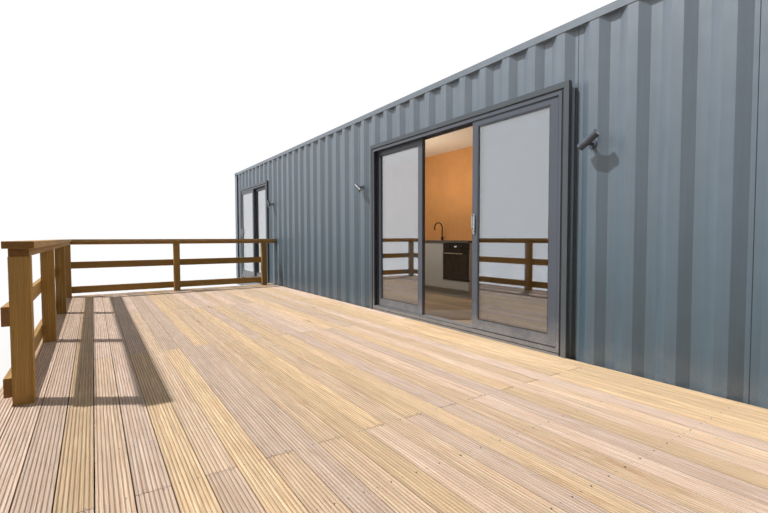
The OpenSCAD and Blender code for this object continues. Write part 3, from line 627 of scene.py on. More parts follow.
def use_group(graph, tree, **inputs):
    """A node group placed in a material, its inputs set by name"""
    labels = {key.title(): value for key, value in inputs.items()}
    made = graph.node("ShaderNodeGroup", node_tree=tree)
    for key, value in labels.items():
        graph.feed(made.inputs[key], value)
    return made.outputs


def object_place(graph):
    """Object coordinates, which are places on the cabin at rest"""
    return graph.node("ShaderNodeTexCoord").outputs["Object"]


def surface(graph, shader, parts, depth, **constants):
    """Wire a group's colour, roughness and height to the shader and set its constants"""
    graph.feed(shader.inputs["Base Color"], parts["Colour"])
    graph.feed(shader.inputs["Roughness"], parts["Roughness"])
    bump = graph.node("ShaderNodeBump", {"Height": parts["Height"], "Distance": depth,
                                         "Strength": 1.0})
    graph.feed(shader.inputs["Normal"], bump.outputs[0])
    for key, value in constants.items():
        shader.inputs[key.replace("_", " ").title().replace("Ior", "IOR")].default_value = value


def group_finish(name, kind, build, depth, inputs, **constants):
    """A material made by one shader group on the cabin's own coordinates"""
    made, graph, shader = new_finish(name)
    parts = use_group(graph, once(kind, build), place=object_place(graph), **inputs)
    surface(graph, shader, parts, depth, **constants)
    return made


def coat_finish(name, coat, mottle, streaks=0.0, dirt=0.0, foot=0.0, sky_sheen=0.0, ior=1.5):
    """Weathered paint or powder coat"""
    inputs = {"coat": rgba(coat), "mottle": mottle, "streaks": streaks, "dirt": dirt,
              "foot": foot, "sky_sheen": sky_sheen}
    return group_finish(name, "Weathered Coat", coat_group, 0.12 * MM, inputs, ior=ior)


def board_finish(name, coat, marks, depth=0.1 * MM):
    """Emulsion or laminate on board"""
    inputs = {"coat": rgba(coat), "marks": marks}
    return group_finish(name, "Board Finish", lining_group, depth, inputs)


def metal_finish(name, metal):
    """Bare brushed metal"""
    return group_finish(name, "Brushed Metal", brushed_group, 0.02 * MM, {"metal": rgba(metal)},
                        metallic=1.0)


def grain(graph, place, seed, colours, rings, knots, weather):
    """The timber group at a place, with its pale, tinted and late wood"""
    pale, tint, dark = [rgba(colour) for colour in colours]
    return use_group(graph, once("Timber Grain", timber_group), place=place, seed=seed, pale=pale,
                     tint=tint, dark=dark, rings=rings, knots=knots, weather=weather)


def post_colours(settings):
    """The three colours of the posts' wood"""
    return settings.post_pale, settings.post_tint, settings.post_dark


def timber_finish(name, colours, rings, knots, weather, depth=0.4 * MM, groove=None):
    """Timber whose grain follows each piece; grooves below a level are darkened, with dirt and painted
    shade
    """
    made, graph, shader = new_finish(name)
    place = graph.node("ShaderNodeAttribute", attribute_name="timber_place").outputs["Vector"]
    seed = graph.node("ShaderNodeAttribute", attribute_name="timber_seed").outputs["Fac"]
    parts = grain(graph, place, seed, colours, rings, knots, weather)
    surface(graph, shader, parts, depth)
    if groove:
        # Darker in the grooves below the level: dirt and painted shade
        level, colour, amount = groove
        height = graph.split(object_place(graph))[2]
        patchy = graph.noise(object_place(graph), 7.0, 4.0, 0.6)
        groove_dirt_and_shade = graph.spread(height, level - GROOVE_FLOOR, level - GROOVE_LIP, 1.0, 0.0)
        dirt = graph.times(groove_dirt_and_shade, graph.spread(patchy, 0.3, 0.7, 0.6 * amount, amount))
        graph.feed(shader.inputs["Base Color"], graph.mix(dirt, parts["Colour"], rgba(colour)))
    return made


def end_finish(settings):
    """The dark end grain of the squared timbers, built once"""
    made = bpy.data.materials.get("End Grain")
    if made is None:
        colours = [(0.58 * c[0], 0.46 * c[1], 0.36 * c[2]) for c in post_colours(settings)]
        made = timber_finish("End Grain", colours, rings=1400.0, knots=0.0, weather=0.1,
                             depth=0.6 * MM)
    return made


def under_finish(name, settings, along_y):
    """Rough framing timber that runs along the cabin or across it"""
    made, graph, shader = new_finish(name)
    x, y, z = graph.split(object_place(graph))
    place = graph.join(y, x, z) if along_y else graph.join(x, y, z)
    seed = graph.math("FLOOR", graph.times(x if along_y else y, 4.0))
    parts = grain(graph, place, seed, post_colours(settings), rings=900.0, knots=0.2, weather=0.5)
    surface(graph, shader, parts, 0.4 * MM)
    return made


def glass_finish(name, tint, ior=1.5, coat=0.0):
    """Clear glass that lets lamps and daylight through, plain or with a reflecting sun coat"""
    made, graph, shader = new_finish(name)
    smears = graph.noise(graph.stretched(object_place(graph), (1.0, 1.0, 0.35)), 5.0, 4.0)
    graph.feed(shader.inputs["Base Color"], rgba(tint))
    graph.feed(shader.inputs["Roughness"], graph.spread(smears, 0.45, 0.8, 0.0, 0.03))
    shader.inputs["Transmission Weight"].default_value = 1.0
    shader.inputs["IOR"].default_value = ior
    shader.inputs["Coat Weight"].default_value = coat
    shader.inputs["Coat Roughness"].default_value = 0.0
    shader.inputs["Coat IOR"].default_value = SUN_COAT_IOR
    clear = graph.node("ShaderNodeBsdfTransparent", {"Color": rgba(tint)})
    path = graph.node("ShaderNodeLightPath")
    graph.show("Material Output", graph.blend(path.outputs["Is Shadow Ray"], shader.outputs[0],
                                              clear.outputs[0]))
    return made


def glow_finish(name, colour, strength):
    """An opal diffuser that glows softly"""
    made, graph, shader = new_finish(name)
    clouds = graph.noise(object_place(graph), 40.0, 2.0)
    level = graph.spread(clouds, 0.2, 0.8, 0.92, 1.0)
    shade = graph.scaled(rgba(colour)[:3], level)
    graph.feed(shader.inputs["Base Color"], shade)
    graph.feed(shader.inputs["Emission Color"], shade)
    shader.inputs["Emission Strength"].default_value = strength
    shader.inputs["Roughness"].default_value = 0.45
    return made


def rubber_finish(name, colour=(0.012, 0.012, 0.013)):
    """Black rubber with a dusty bloom"""
    return board_finish(name, colour, marks=0.25, depth=0.05 * MM)


def dress(finish, *nodes):
    """Give a finish to nodes of the frame"""
    for node in nodes:
        frame["nodes"][node].data.materials[0] = finish


# Settings

def colour_setting(name, description, default):
    """A colour that a user can change"""
    return FloatVectorProperty(name=name, description=description, default=default,
                               subtype="COLOR", size=3, min=0.0, max=1.0)


def length_setting(name, description, default):
    """A length that a user can change"""
    return FloatProperty(name=name, description=description, default=default, unit="LENGTH",
                         min=0.0)


def strength_setting(name, description, default):
    """A strength that a user can change"""
    return FloatProperty(name=name, description=description, default=default, min=0.0)


class SteelSettings(bpy.types.PropertyGroup):
    """Paint and welds of the container"""
    paint: colour_setting("Paint", "Colour of the container paint", linear(71, 92, 105))
    # Painted sky light and sheen: how much paler the paint is made up high
    sky_sheen: FloatProperty(name="Sky Light and Sheen", description="How pale the sun has made the paint up high",
                         default=0.6, min=0.0, max=1.0)
    weld: length_setting("Weld Width", "Width of the weld seams", 7 * MM)
    panel_ribs: IntProperty(name="Ribs per Panel", description="Ribs between two upright seams",
                            default=4, min=1, max=12)


class DoorSettings(bpy.types.PropertyGroup):
    """Metal, glass and seals of the doors"""
    surround: colour_setting("Surround", "Colour of the door surrounds", linear(79, 86, 92))
    coat: colour_setting("Frame Coat", "Colour of the frames and leaves", linear(84, 90, 101))
    glass: colour_setting("Glass Tint", "Tint of the glass", (0.62, 0.67, 0.73))
    pane: length_setting("Pane Thickness", "Thickness of one pane of the double glazing", 4 * MM)
    seal: length_setting("Gasket Width", "Width of the rubber round the glass", 6 * MM)


class TimberSettings(bpy.types.PropertyGroup):
    """Colours and fixings of the deck and balustrade"""
    deck_pale: colour_setting("Deck Pale", "Yellowish boards", linear(232, 202, 160))
    deck_tint: colour_setting("Deck Tint", "Pinkish boards", linear(226, 202, 184))
    deck_dark: colour_setting("Deck Rings", "Late wood of the boards", linear(194, 144, 100))
    post_pale: colour_setting("Post Pale", "Pale wood of the posts", linear(196, 152, 80))
    post_tint: colour_setting("Post Tint", "Greenish wood of the posts", linear(170, 132, 60))
    post_dark: colour_setting("Post Rings", "Late wood of the posts", linear(108, 68, 28))
    screw: length_setting("Screw Head", "Width of a deck screw's head", 9 * MM)
    eased: length_setting("Eased Edge", "Rounding of the squared timbers", 3 * MM)


class RoomSettings(bpy.types.PropertyGroup):
    """Finishes inside the cabin"""
    ochre: colour_setting("Back Wall", "Emulsion on the back wall", linear(202, 148, 93))
    white: colour_setting("White", "Emulsion on the other walls and the ceiling", (0.78, 0.75, 0.7))
    fronts: colour_setting("Fronts", "Kitchen fronts", linear(166, 170, 172))
    floor: colour_setting("Floor", "Pale laminate boards", linear(186, 170, 146))
    plank: length_setting("Plank Width", "Width of a laminate board", 0.19)


class StageSettings(bpy.types.PropertyGroup):
    """Lamps and floor"""
    key: strength_setting("Key Light", "Strength of the key light", 3.6)
    fill: strength_setting("Fill Light", "Strength of the fill light", 1.2)
    back: strength_setting("Back Light", "Strength of the light from behind", 0.6)
    around: strength_setting("Surroundings", "Strength of the light all round", 0.15)
    floor: colour_setting("Floor", "Colour of the studio floor", (0.82, 0.82, 0.82))


# Container

WALL_NODES = ["front_wall_far", "front_wall_middle", "front_wall_near", "back_wall"]
PAINT_IOR = 1.8
SEAM_SHARE = 0.38


def rib_run(x0, x1, y, depth_sign, z):
    """Points along the rib line of a long wall between two places"""
    first = RIB_START - RIB_PITCH * math.ceil((RIB_START - x0) / RIB_PITCH + 1)
    line = []
    for i in range(math.ceil((x1 - first) / RIB_PITCH) + 2):
        start = first + i * RIB_PITCH
        line += [(start, 0.0), (start + RIB_FLAT, 0.0), (start + RIB_FLAT + RIB_SLOPE, RIB_DEPTH),
                 (start + RIB_FLAT + RIB_SLOPE + RIB_VALLEY, RIB_DEPTH)]

    def depth_at(x):
        for (xa, da), (xb, db) in zip(line, line[1:]):
            if xa <= x <= xb:
                return da + (db - da) * (x - xa) / (xb - xa)
        raise ValueError("the place is off the rib line")

    inner = [(x, depth) for x, depth in line if x0 + MM < x < x1 - MM]
    whole = [(x0, depth_at(x0))] + inner + [(x1, depth_at(x1))]
    return [(x, y + depth_sign * depth, z) for x, depth in whole]


def rectangle_run(low, high, axis, level):
    """A closed run round a rectangle that faces along one axis"""
    first, second = [a for a in range(3) if a != axis]
    run = []
    for a, b in ((0, 0), (1, 0), (1, 1), (0, 1), (0, 0)):
        point = [0.0, 0.0, 0.0]
        point[axis] = level
        point[first] = (low, high)[a][first]
        point[second] = (low, high)[b][second]
        run.append(tuple(point))
    return run


class CABIN_OT_steel(bpy.types.Operator):
    """Paint the container and add its weld seams"""
    bl_idname = "cabin.steel"
    bl_label = "Steel Container"

    def execute(self, context):
        steel = context.scene.cabin_steel
        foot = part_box("front_wall_near")[0].z
        # Both paints are made paler up high: painted sky light and sheen
        wall = coat_finish("Container Paint", steel.paint, mottle=0.055, streaks=0.06, dirt=0.5,
                           foot=foot, sky_sheen=steel.sky_sheen, ior=PAINT_IOR)
        frame_paint = coat_finish("Rail Paint", steel.paint, mottle=0.08, streaks=0.04, dirt=0.6,
                                  foot=foot, sky_sheen=steel.sky_sheen, ior=PAINT_IOR)
        # A dark bead down each upright seam: painted shade of the seam's gap
        seam_shade = rubber_finish("Seam Shade", linear(44, 50, 56))
        dress(wall, *WALL_NODES, "front_wall_over_doors", "end_walls", "roof_sheet")
        dress(frame_paint, "corner_castings", "corner_posts", "top_side_rails",
              "bottom_side_rails", "end_rails", "cross_members")
        runs = []
        uprights = []
        for node in WALL_NODES:
            low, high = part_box(node)
            outer, sign = (high.y, -1) if node == "back_wall" else (low.y, 1)
            for z in (low.z, high.z):
                runs.append(rib_run(low.x, high.x, outer, sign, z))
            uprights += self.panel_seams(low, high, outer, sign, steel.panel_ribs)
        for low, high in solid_boxes("front_wall_over_doors"):
            runs.append(rib_run(low.x, high.x, low.y, 1, high.z))
        keep(beads("wall_welds", runs, wall, steel.weld), "root", "container_paint")
        # Dark beads down the seams: painted shade
        keep(beads("panel_seams", uprights, seam_shade, 0.6 * steel.weld), "root",
             "container_paint")
        keep(beads("casting_welds", self.casting_runs(), frame_paint, steel.weld), "root",
             "container_paint")
        return {"FINISHED"}

    def panel_seams(self, low, high, outer, sign, ribs_per_panel):
        """Upright seams where two sheets meet, beside the slope of every few ribs"""
        seams = []
        step = ribs_per_panel * RIB_PITCH
        start = RIB_START + RIB_FLAT + RIB_SLOPE + SEAM_SHARE * RIB_VALLEY
        first = math.ceil((low.x - start) / step)
        last = math.floor((high.x - start) / step)
        for i in range(first, last + 1):
            x = start + i * step
            y = outer + sign * RIB_DEPTH
            seams.append([(x, y, low.z), (x, y, high.z)])
        return seams

    def casting_runs(self):
        """Rings round the joints of the corner posts and castings"""
        runs = []
        end_low, end_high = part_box("end_walls")
        for low, high in solid_boxes("corner_posts"):
            at_back = low.y + high.y > end_low.y + end_high.y
            x_out, x_in = (high.x - MM, low.x) if low.x > 0 else (low.x + MM, high.x)
            y_out, y_in = (high.y - MM, low.y) if at_back else (low.y + MM, high.y)
            for z in (low.z, high.z):
                runs.append([(x_in, y_out, z), (x_out, y_out, z), (x_out, y_in, z)])
        return runs


# Doors

FRAME_GROOVE = 18 * MM
FRAME_FACE = 45 * MM
SILL_GAP = 6 * MM
PLATE_THICKNESS = 8 * MM
PLATE_SCREW = 7 * MM

LEAVES = {
    "main_door_fixed_leaves": ("main_door_fixed_glass", "root"),
    "main_door_sliding_leaf": ("main_door_sliding_glass", "main_slider"),
    "far_door_fixed_leaf": ("far_door_fixed_glass", "root"),
    "far_door_sliding_leaf": ("far_door_sliding_glass", "far_slider"),
}


class CABIN_OT_doors(bpy.types.Operator):
    """Coat the doors and fit their double glazing, gaskets and brush seals"""
    bl_idname = "cabin.doors"
    bl_label = "Sliding Doors"

    def execute(self, context):
        doors = context.scene.cabin_doors
        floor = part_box("floor_panel")[1].z
        surround = coat_finish("Surround Paint", doors.surround, mottle=0.05, streaks=0.04,
                               dirt=0.4, foot=floor)
        coat = coat_finish("Frame Coat", doors.coat, mottle=0.04, streaks=0.02, dirt=0.95,
                           foot=floor + 20 * MM)
        glass = glass_finish("Door Glass", doors.glass, ior=1.9, coat=1.0)
        rubber = rubber_finish("Gasket Rubber")
        steel = metal_finish("Handle Steel", (0.5, 0.5, 0.5))
        dress(surround, "main_door_surround", "far_door_surround")
        dress(coat, "main_door_frame", "far_door_frame", *LEAVES)
        dress(steel, "main_door_handle", "far_door_handle")
        for unit, body in LEAVES.values():
            self.glaze(unit, body, doors, glass, rubber)
        sliders = {"main_door": "main_slider", "far_door": "far_slider"}
        for door, body in sliders.items():
            self.fix_handle(door + "_handle", body, steel, rubber)
        for door, body in sliders.items():
            self.brush(door + "_sliding_leaf", body, rubber)
        # Black strips that paint the shade of the gaps round each frame
        for door in sliders:
            self.seal(door, rubber)
        return {"FINISHED"}

    def glaze(self, unit, body, doors, glass, rubber):
        """Two panes, a spacer between them and gaskets on both faces of each leaf"""
        panes = []
        spacers = []
        gaskets = []
        bar = 12 * MM
        inset = doors.seal / 2
        for low, high in solid_boxes(unit):
            front = Vector((high.x, low.y + doors.pane, high.z))
            rear = Vector((low.x, high.y - doors.pane, low.z))
            panes += [(low, front), (rear, high)]
            y0, y1 = front.y, rear.y
            for x in (low.x, high.x - bar):
                spacers.append(((x, y0, low.z), (x + bar, y1, high.z)))
            for z in (low.z, high.z - bar):
                spacers.append(((low.x + bar, y0, z), (high.x - bar, y1, z + bar)))
            shrink = Vector((inset, 0.0, inset))
            for y in (low.y - inset / 2, high.y + inset / 2):
                gaskets.append(rectangle_run(low + shrink, high - shrink, 1, y))
        name = unit.replace("_glass", "")
        keep(boxes_object(name + "_panes", panes, glass), body, "door_glass", unit)
        keep(boxes_object(name + "_spacers", spacers, rubber), body, "frame_coating")
        keep(beads(name + "_gaskets", gaskets, rubber, doors.seal), body, "frame_coating")

    def fix_handle(self, handle, body, steel, rubber):
        """Two screws and a keyhole on the handle's back plate; the keyhole is a black slot of painted
        shade
        """
        low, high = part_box(handle)
        x = (low.x + high.x) / 2
        face = high.y - PLATE_THICKNESS
        over_foot = 20 * MM
        under_top = 55 * MM
        points = [(x, face, low.z + over_foot), (x, face, high.z - under_top)]
        keep(screws(handle + "_screws", points, steel, rubber, PLATE_SCREW, FACING_FRONT, seed=3),
             body, "handle_steel")
        lock_z = (low.z + high.z) / 2 - 69 * MM
        lock_y = high.y - 16 * MM
        half_x, half_y, half_z = 1.2 * MM, 0.4 * MM, 5 * MM
        # The keyhole is a small black box: painted shade of its slot
        hole = [((x - half_x, lock_y - half_y, lock_z - half_z),
                 (x + half_x, lock_y + half_y, lock_z + half_z))]
        keep(boxes_object(handle + "_keyhole", hole, rubber), body, "black_metal")

    def seal(self, door, rubber):
        """Black rubber strips in the groove round a frame, along its threshold and down its jambs:
        painted shade that makes these gaps show dark
        """
        low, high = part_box(door + "_frame")
        leaf_low, leaf_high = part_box(door + "_sliding_leaf")
        y0, y1 = low.y + 4 * MM, low.y + FRAME_GROOVE
        # Strips filling the groove round the frame, so that it shows black: painted shade
        strips = [((low.x, y0, low.z), (low.x + FRAME_GROOVE, y1, high.z - FRAME_GROOVE)),
                  ((high.x - FRAME_GROOVE, y0, low.z), (high.x, y1, high.z - FRAME_GROOVE)),
                  ((low.x, y0, high.z - FRAME_GROOVE), (high.x, y1, high.z))]
        left, right = low.x + FRAME_FACE, high.x - FRAME_FACE
        step = leaf_low.z - SILL_GAP
        jamb = 3.5 * MM
        back = 6 * MM
        # A black strip just under the leaf, seen as a dark line beneath it: painted shade
        sill_shade_strip = ((left, low.y + 1 * MM, step), (right, low.y + 5 * MM, step + 4 * MM))
        drip = ((low.x, low.y - 1.2 * MM, low.z + 20 * MM), (high.x, low.y, low.z + 27 * MM))
        strips += [sill_shade_strip, drip]
        # Black strips on the jambs, seen through the gaps at the leaf's edges: painted shade
        for x in (left, right - jamb):
            strips.append(((x, leaf_low.y + back, step), (x + jamb, leaf_high.y - back, leaf_high.z)))
        keep(boxes_object(door + "_seals", strips, rubber), "root", "frame_coating")

    def brush(self, leaf, body, rubber):
        """A brush seal behind each stile of a sliding leaf"""
        low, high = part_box(leaf)
        width = 12 * MM
        inset = 30 * MM
        short = 10 * MM
        strips = [((x, high.y, low.z + short), (x + width, high.y + 4.5 * MM, high.z - short))
                  for x in (low.x + inset, high.x - inset - width)]
        keep(boxes_object(leaf + "_brush", strips, rubber), body, "frame_coating")


# Wall lights

LIGHT_TURNS = {"light_near": 56, "light_middle": -57, "light_far": -30}
LIGHT_SHIFTS = {"light_near": 25, "light_middle": -30, "light_far": 0}
LIGHT_ARM = 40 * MM
LIGHT_LENGTH = 160 * MM
LIGHT_SCREW_REACH = 24 * MM
LIGHT_BORE_MM = 25.2


class CABIN_OT_wall_lights(bpy.types.Operator):
    """Coat the wall lights and fit their lenses, rims and screws"""
    bl_idname = "cabin.wall_lights"
    bl_label = "Wall Lights"

    def execute(self, context):
        doors = context.scene.cabin_doors
        dark = [0.95 * v for v in doors.coat]
        coat = coat_finish("Light Coat", dark, mottle=0.06)
        glass = glass_finish("Lens Glass", (0.95, 0.96, 0.95))
        mirror = metal_finish("Reflector", (0.5, 0.5, 0.49))
        steel = metal_finish("Light Screws", (0.6, 0.6, 0.58))
        rubber = rubber_finish("Light Seal")
        dress(coat, "light_brackets", "light_head_near", "light_head_middle", "light_head_far")
        points = []
        for joint in frame["joints"]:
            body = joint["child"]
            if body not in LIGHT_TURNS:
                continue
            pivot = Vector(joint["pos_m"])
            self.fit_head(body, pivot, glass, mirror, steel, rubber)
            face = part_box("light_brackets")[1].y - PLATE_THICKNESS
            points += [(pivot.x, face, pivot.z + s * LIGHT_SCREW_REACH) for s in (-1, 1)]
        keep(screws("light_plate_screws", points, steel, rubber, PLATE_SCREW, FACING_FRONT, seed=5),
             "root", "light_coating")
        return {"FINISHED"}

    def fit_head(self, body, pivot, glass, mirror, steel, rubber):
        """A reflector, a lens, a seal and a bright rim in both ends of a head"""
        place = (Matrix.Translation(pivot) @ Matrix.Rotation(math.radians(LIGHT_TURNS[body]), 4, "Y")
                 @ Matrix.Translation((0.0, -LIGHT_ARM, LIGHT_SHIFTS[body] * MM)))
        half = LIGHT_LENGTH / 2
        r = LIGHT_BORE_MM
        in_seal = r - 1.6
        in_rim = r - 2.4
        dish = in_mm((0, 19), (8, 18.5), (18, 12), (r, 5), (r, 6.5), (18, 13.5), (8, 20), (0, 20.5))
        lens = in_mm((0, 2.5), (0.7 * r, 2.8), (r - 1, 3.5), (r - 1, 5), (0, 5))
        seal = in_mm((in_seal, 2.4), (r, 2.2), (r, 3.5), (in_seal, 3.2), (in_seal, 2.4))
        rim = in_mm((in_rim, 0.6), (r, 0.2), (r, 2.2), (in_rim, 2.2), (in_rim, 0.6))
        ends = [place @ Matrix.Translation((0.0, 0.0, -half)),
                place @ Matrix.Translation((0.0, 0.0, half)) @ Matrix.Rotation(math.pi, 4, "X")]
        for part, outline, finish, slot in (("reflectors", dish, mirror, "handle_steel"),
                                            ("lenses", lens, glass, "door_glass"),
                                            ("seals", seal, rubber, "light_coating"),
                                            ("rims", rim, steel, "handle_steel")):
            keep(turned_object(f"{body}_{part}", outline, ends, finish, 40), body, slot)


# Deck

class CABIN_OT_deck(bpy.types.Operator):
    """Make the ribbed deck boards in sawn timber and drive their screws"""
    bl_idname = "cabin.deck"
    bl_label = "Timber Deck"

    def execute(self, context):
        timber = context.scene.cabin_timber
        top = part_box("deck_boards")[1].z
        # The grooves of the boards are darkened: dirt and painted shade
        boards = timber_finish("Deck Board",
                               (timber.deck_pale, timber.deck_tint, timber.deck_dark),
                               rings=1300.0, knots=0.16, weather=0.1, depth=0.3 * MM,
                               groove=(top, linear(112, 78, 50), 0.55))
        steel = metal_finish("Deck Screw Steel", (0.42, 0.4, 0.36))
        # Near black for the screw drives: painted shade of their recesses
        hole = rubber_finish("Screw Recess Shade", (0.03, 0.026, 0.02))
        ends = end_finish(timber)
        keep(timber_copy("ribbed_deck_boards", "deck_boards", boards, ends, 0.7 * MM, 11), "root",
             "deck_timber", "deck_boards")
        keep(screws("deck_screws", self.screw_places(top - 0.9 * MM), steel, hole, timber.screw,
                    seed=7), "root", "deck_timber")
        rough = timber_finish("Rim Timber", post_colours(timber), rings=900.0, knots=0.2,
                              weather=0.3)
        keep(timber_boxes("sawn_rims", self.rim_boxes(), rough, ends, timber.eased, 21), "root",
             "deck_timber", "deck_rims")
        dress(under_finish("Joist Timber", timber, True), "deck_joists")
        dress(under_finish("Bearer Timber", timber, False), "deck_bearers", "deck_spacers")
        return {"FINISHED"}

    def screw_places(self, z):
        """Two screws where each board crosses a joist, moved in from the board's ends"""
        joists = [(low.x + high.x) / 2 for low, high in solid_boxes("deck_joists")]
        reach = 0.01
        from_end = 0.013
        apart = 0.036
        points = []
        for low, high in solid_boxes("deck_boards"):
            middle = (low.y + high.y) / 2
            for x in joists:
                if low.x - reach < x < high.x + reach:
                    x = min(max(x, low.x + from_end), high.x - from_end)
                    points += [(x, middle + s * apart, z) for s in (-1, 1)]
        return points

    def rim_boxes(self):
        """The four timbers round the joists"""
        low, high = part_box("deck_rims")
        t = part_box("deck_joists")[0].y - low.y
        return [(low, (high.x, low.y + t, high.z)), ((low.x, high.y - t, low.z), high),
                ((low.x, low.y + t, low.z), (low.x + t, high.y - t, high.z)),
                ((high.x - t, low.y + t, low.z), (high.x, high.y - t, high.z))]


# Balustrade

TOLERANCE = 10 * MM
RAIL_SCREW = 9 * MM


class CABIN_OT_balustrade(bpy.types.Operator):
    """Make the posts, rails and caps of the balustrade and drive their screws"""
    bl_idname = "cabin.balustrade"
    bl_label = "Balustrade"

    def execute(self, context):
        timber = context.scene.cabin_timber
        post = timber_finish("Post Timber", post_colours(timber), rings=1000.0, knots=0.22,
                             weather=0.15)
        pale = [0.35 * a + 0.65 * b for a, b in zip(timber.deck_pale, timber.post_pale)]
        cap = timber_finish("Cap Timber", (pale, timber.post_pale, timber.post_dark),
                            rings=1100.0, knots=0.2, weather=0.2)
        ends = end_finish(timber)
        steel = metal_finish("Rail Screw Steel", (0.5, 0.48, 0.44))
        # Near black for the screw drives: painted shade of their recesses
        hole = rubber_finish("Rail Screw Recess Shade")
        eased = timber.eased
        keep(timber_boxes("sawn_posts", solid_boxes("balustrade_posts"), post, ends, eased, 31),
             "root", "post_timber", "balustrade_posts")
        posts = solid_boxes("balustrade_posts")
        row_y = min(low.y for low, high in posts)
        row = sorted(low.x for low, high in posts if low.y < row_y + TOLERANCE)
        size = posts[0][1].x - posts[0][0].x
        for node, name, finish, slot, seed in (
                ("balustrade_caps", "sawn_caps", cap, "deck_timber", 41),
                ("balustrade_under_rails", "sawn_under_rails", post, "post_timber", 51)):
            boxes = self.top_boxes(node, row, size)
            keep(timber_boxes(name, boxes, finish, ends, eased, seed), "root", slot, node)
        mid = self.mid_boxes(row, size)
        keep(timber_boxes("sawn_mid_rails", mid, post, ends, eased, 61), "root", "post_timber",
             "balustrade_mid_rails")
        self.fix(mid, posts, row, size, steel, hole)
        return {"FINISHED"}

    def top_boxes(self, node, row, size):
        """Lengths of a cap or under rail: two along the long run, one along the short, two across"""
        low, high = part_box(node)
        width = 2 * (row[0] + size / 2 - low.x)
        gap = 0.5 * MM
        over = (width - size) / 2
        split = row[2] + size / 2
        long_end, short_start = row[3:5]
        front = low.y + width
        boxes = [(low, (split - gap, front, high.z)),
                 ((split + gap, low.y, low.z), (long_end + size + over, front, high.z)),
                 ((short_start - over, low.y, low.z), (high.x, front, high.z))]
        for x in (low.x, high.x - width):
            boxes.append(((x, front + gap, low.z), (x + width, high.y, high.z)))
        return boxes

    def mid_boxes(self, row, size):
        """Middle rails at two levels on the outer side of the posts"""
        low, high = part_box("balustrade_mid_rails")
        t = row[0] - low.x
        rail_low, rail_high = solid_boxes("balustrade_mid_rails")[0]
        rail_h = rail_high.z - rail_low.z
        step = 0.5 * MM
        long_end, short_start, short_end = row[3:6]
        boxes = []
        for z in (low.z, high.z - rail_h):
            boxes += [((row[0], low.y, z), (long_end + size, low.y + t, z + rail_h)),
                      ((short_start, low.y, z), (short_end + size, low.y + t, z + rail_h)),
                      ((low.x, low.y + t + step, z), (low.x + t, high.y, z + rail_h)),
                      ((high.x - t, low.y + t + step, z), (high.x, high.y, z + rail_h))]
        return boxes

    def fix(self, mid, posts, row, size, steel, hole):
        """Screws through the middle rails into the posts"""
        front = []
        far_side = []
        near_side = []
        from_edge = 30 * MM
        for low, high in mid:
            low, high = Vector(low), Vector(high)
            zs = (low.z + from_edge, high.z - from_edge)
            if high.x - low.x > high.y - low.y:
                front += [(x + size / 2, low.y, z) for x in row for z in zs
                          if low.x - TOLERANCE < x + size / 2 < high.x]
            else:
                side, x = (far_side, low.x) if low.x < 0 else (near_side, high.x)
                ys = {round((p[0].y + p[1].y) / 2, 4) for p in posts}
                side += [(x, y, z) for y in sorted(ys) for z in zs if low.y < y < high.y + TOLERANCE]
        for name, points, facing, seed in (
                ("rail_screws_front", front, FACING_FRONT, 13),
                ("rail_screws_far", far_side, (0.0, -math.pi / 2, 0.0), 14),
                ("rail_screws_near", near_side, (0.0, math.pi / 2, 0.0), 15)):
            keep(screws(name, points, steel, hole, RAIL_SCREW, facing, seed), "root",
                 "post_timber")


# Room and kitchen

PLANK_LENGTH = 1.28
PLANK_JOINT = 1.2 * MM


def floor_finish(name, colour, plank):
    """Laminate boards laid along the room, with fine joints and a printed grain"""
    made, graph, shader = new_finish(name)
    place = object_place(graph)
    bricks = graph.node("ShaderNodeTexBrick",
                        {"Vector": place, "Color1": BLACK, "Color2": WHITE, "Scale": 1.0,
                         "Mortar Size": PLANK_JOINT, "Brick Width": PLANK_LENGTH,
                         "Row Height": plank},
                        offset=0.37, offset_frequency=2)
    seed = graph.times(bricks.outputs["Color"], 40.0)
    colours = (colour, [0.82 * v for v in colour], [0.55 * v for v in colour])
    parts = grain(graph, place, seed, colours, rings=700.0, knots=0.08, weather=0.15)
    surface(graph, shader, parts, 0.1 * MM)
    joints = bricks.outputs["Fac"]
    graph.feed(shader.inputs["Base Color"],
               graph.mix(joints, parts["Colour"], rgba([0.25 * v for v in colour])))
    graph.feed(shader.inputs["Roughness"], graph.times(parts["Roughness"], 0.55))
    return made


class CABIN_OT_room(bpy.types.Operator):
    """Finish the linings, the floor and the ceiling lights"""
    bl_idname = "cabin.room"
    bl_label = "Room"

    def execute(self, context):
        room = context.scene.cabin_room
        white = board_finish("White Emulsion", room.white, 0.025)
        dress(white, "ceiling", "end_linings", "front_lining_far", "front_lining_middle",
              "front_lining_near", "front_lining_over_doors")
        dress(board_finish("Ochre Emulsion", room.ochre, 0.05), "back_lining")
        dress(floor_finish("Laminate Floor", room.floor, room.plank), "floor_panel")
        dress(board_finish("Lamp Rim", (0.85, 0.84, 0.8), 0.02), "ceiling_lights")
        glow = glow_finish("Lamp Diffuser", (1.0, 0.88, 0.7), 2.0)
        lights = solid_boxes("ceiling_lights")
        places = [over_middle(low, high, low.z) for low, high in lights]
        rim = 8 * MM
        radius = (lights[-1][1].x - lights[-1][0].x) / 2 - rim
        dome = [(0, 2.5 * MM), (0.6 * radius, 3 * MM), (radius, 5 * MM), (radius, 6 * MM), (0, 6 * MM)]
        keep(turned_object("ceiling_diffusers", dome, places, glow), "root", "lamp_white")
        return {"FINISHED"}


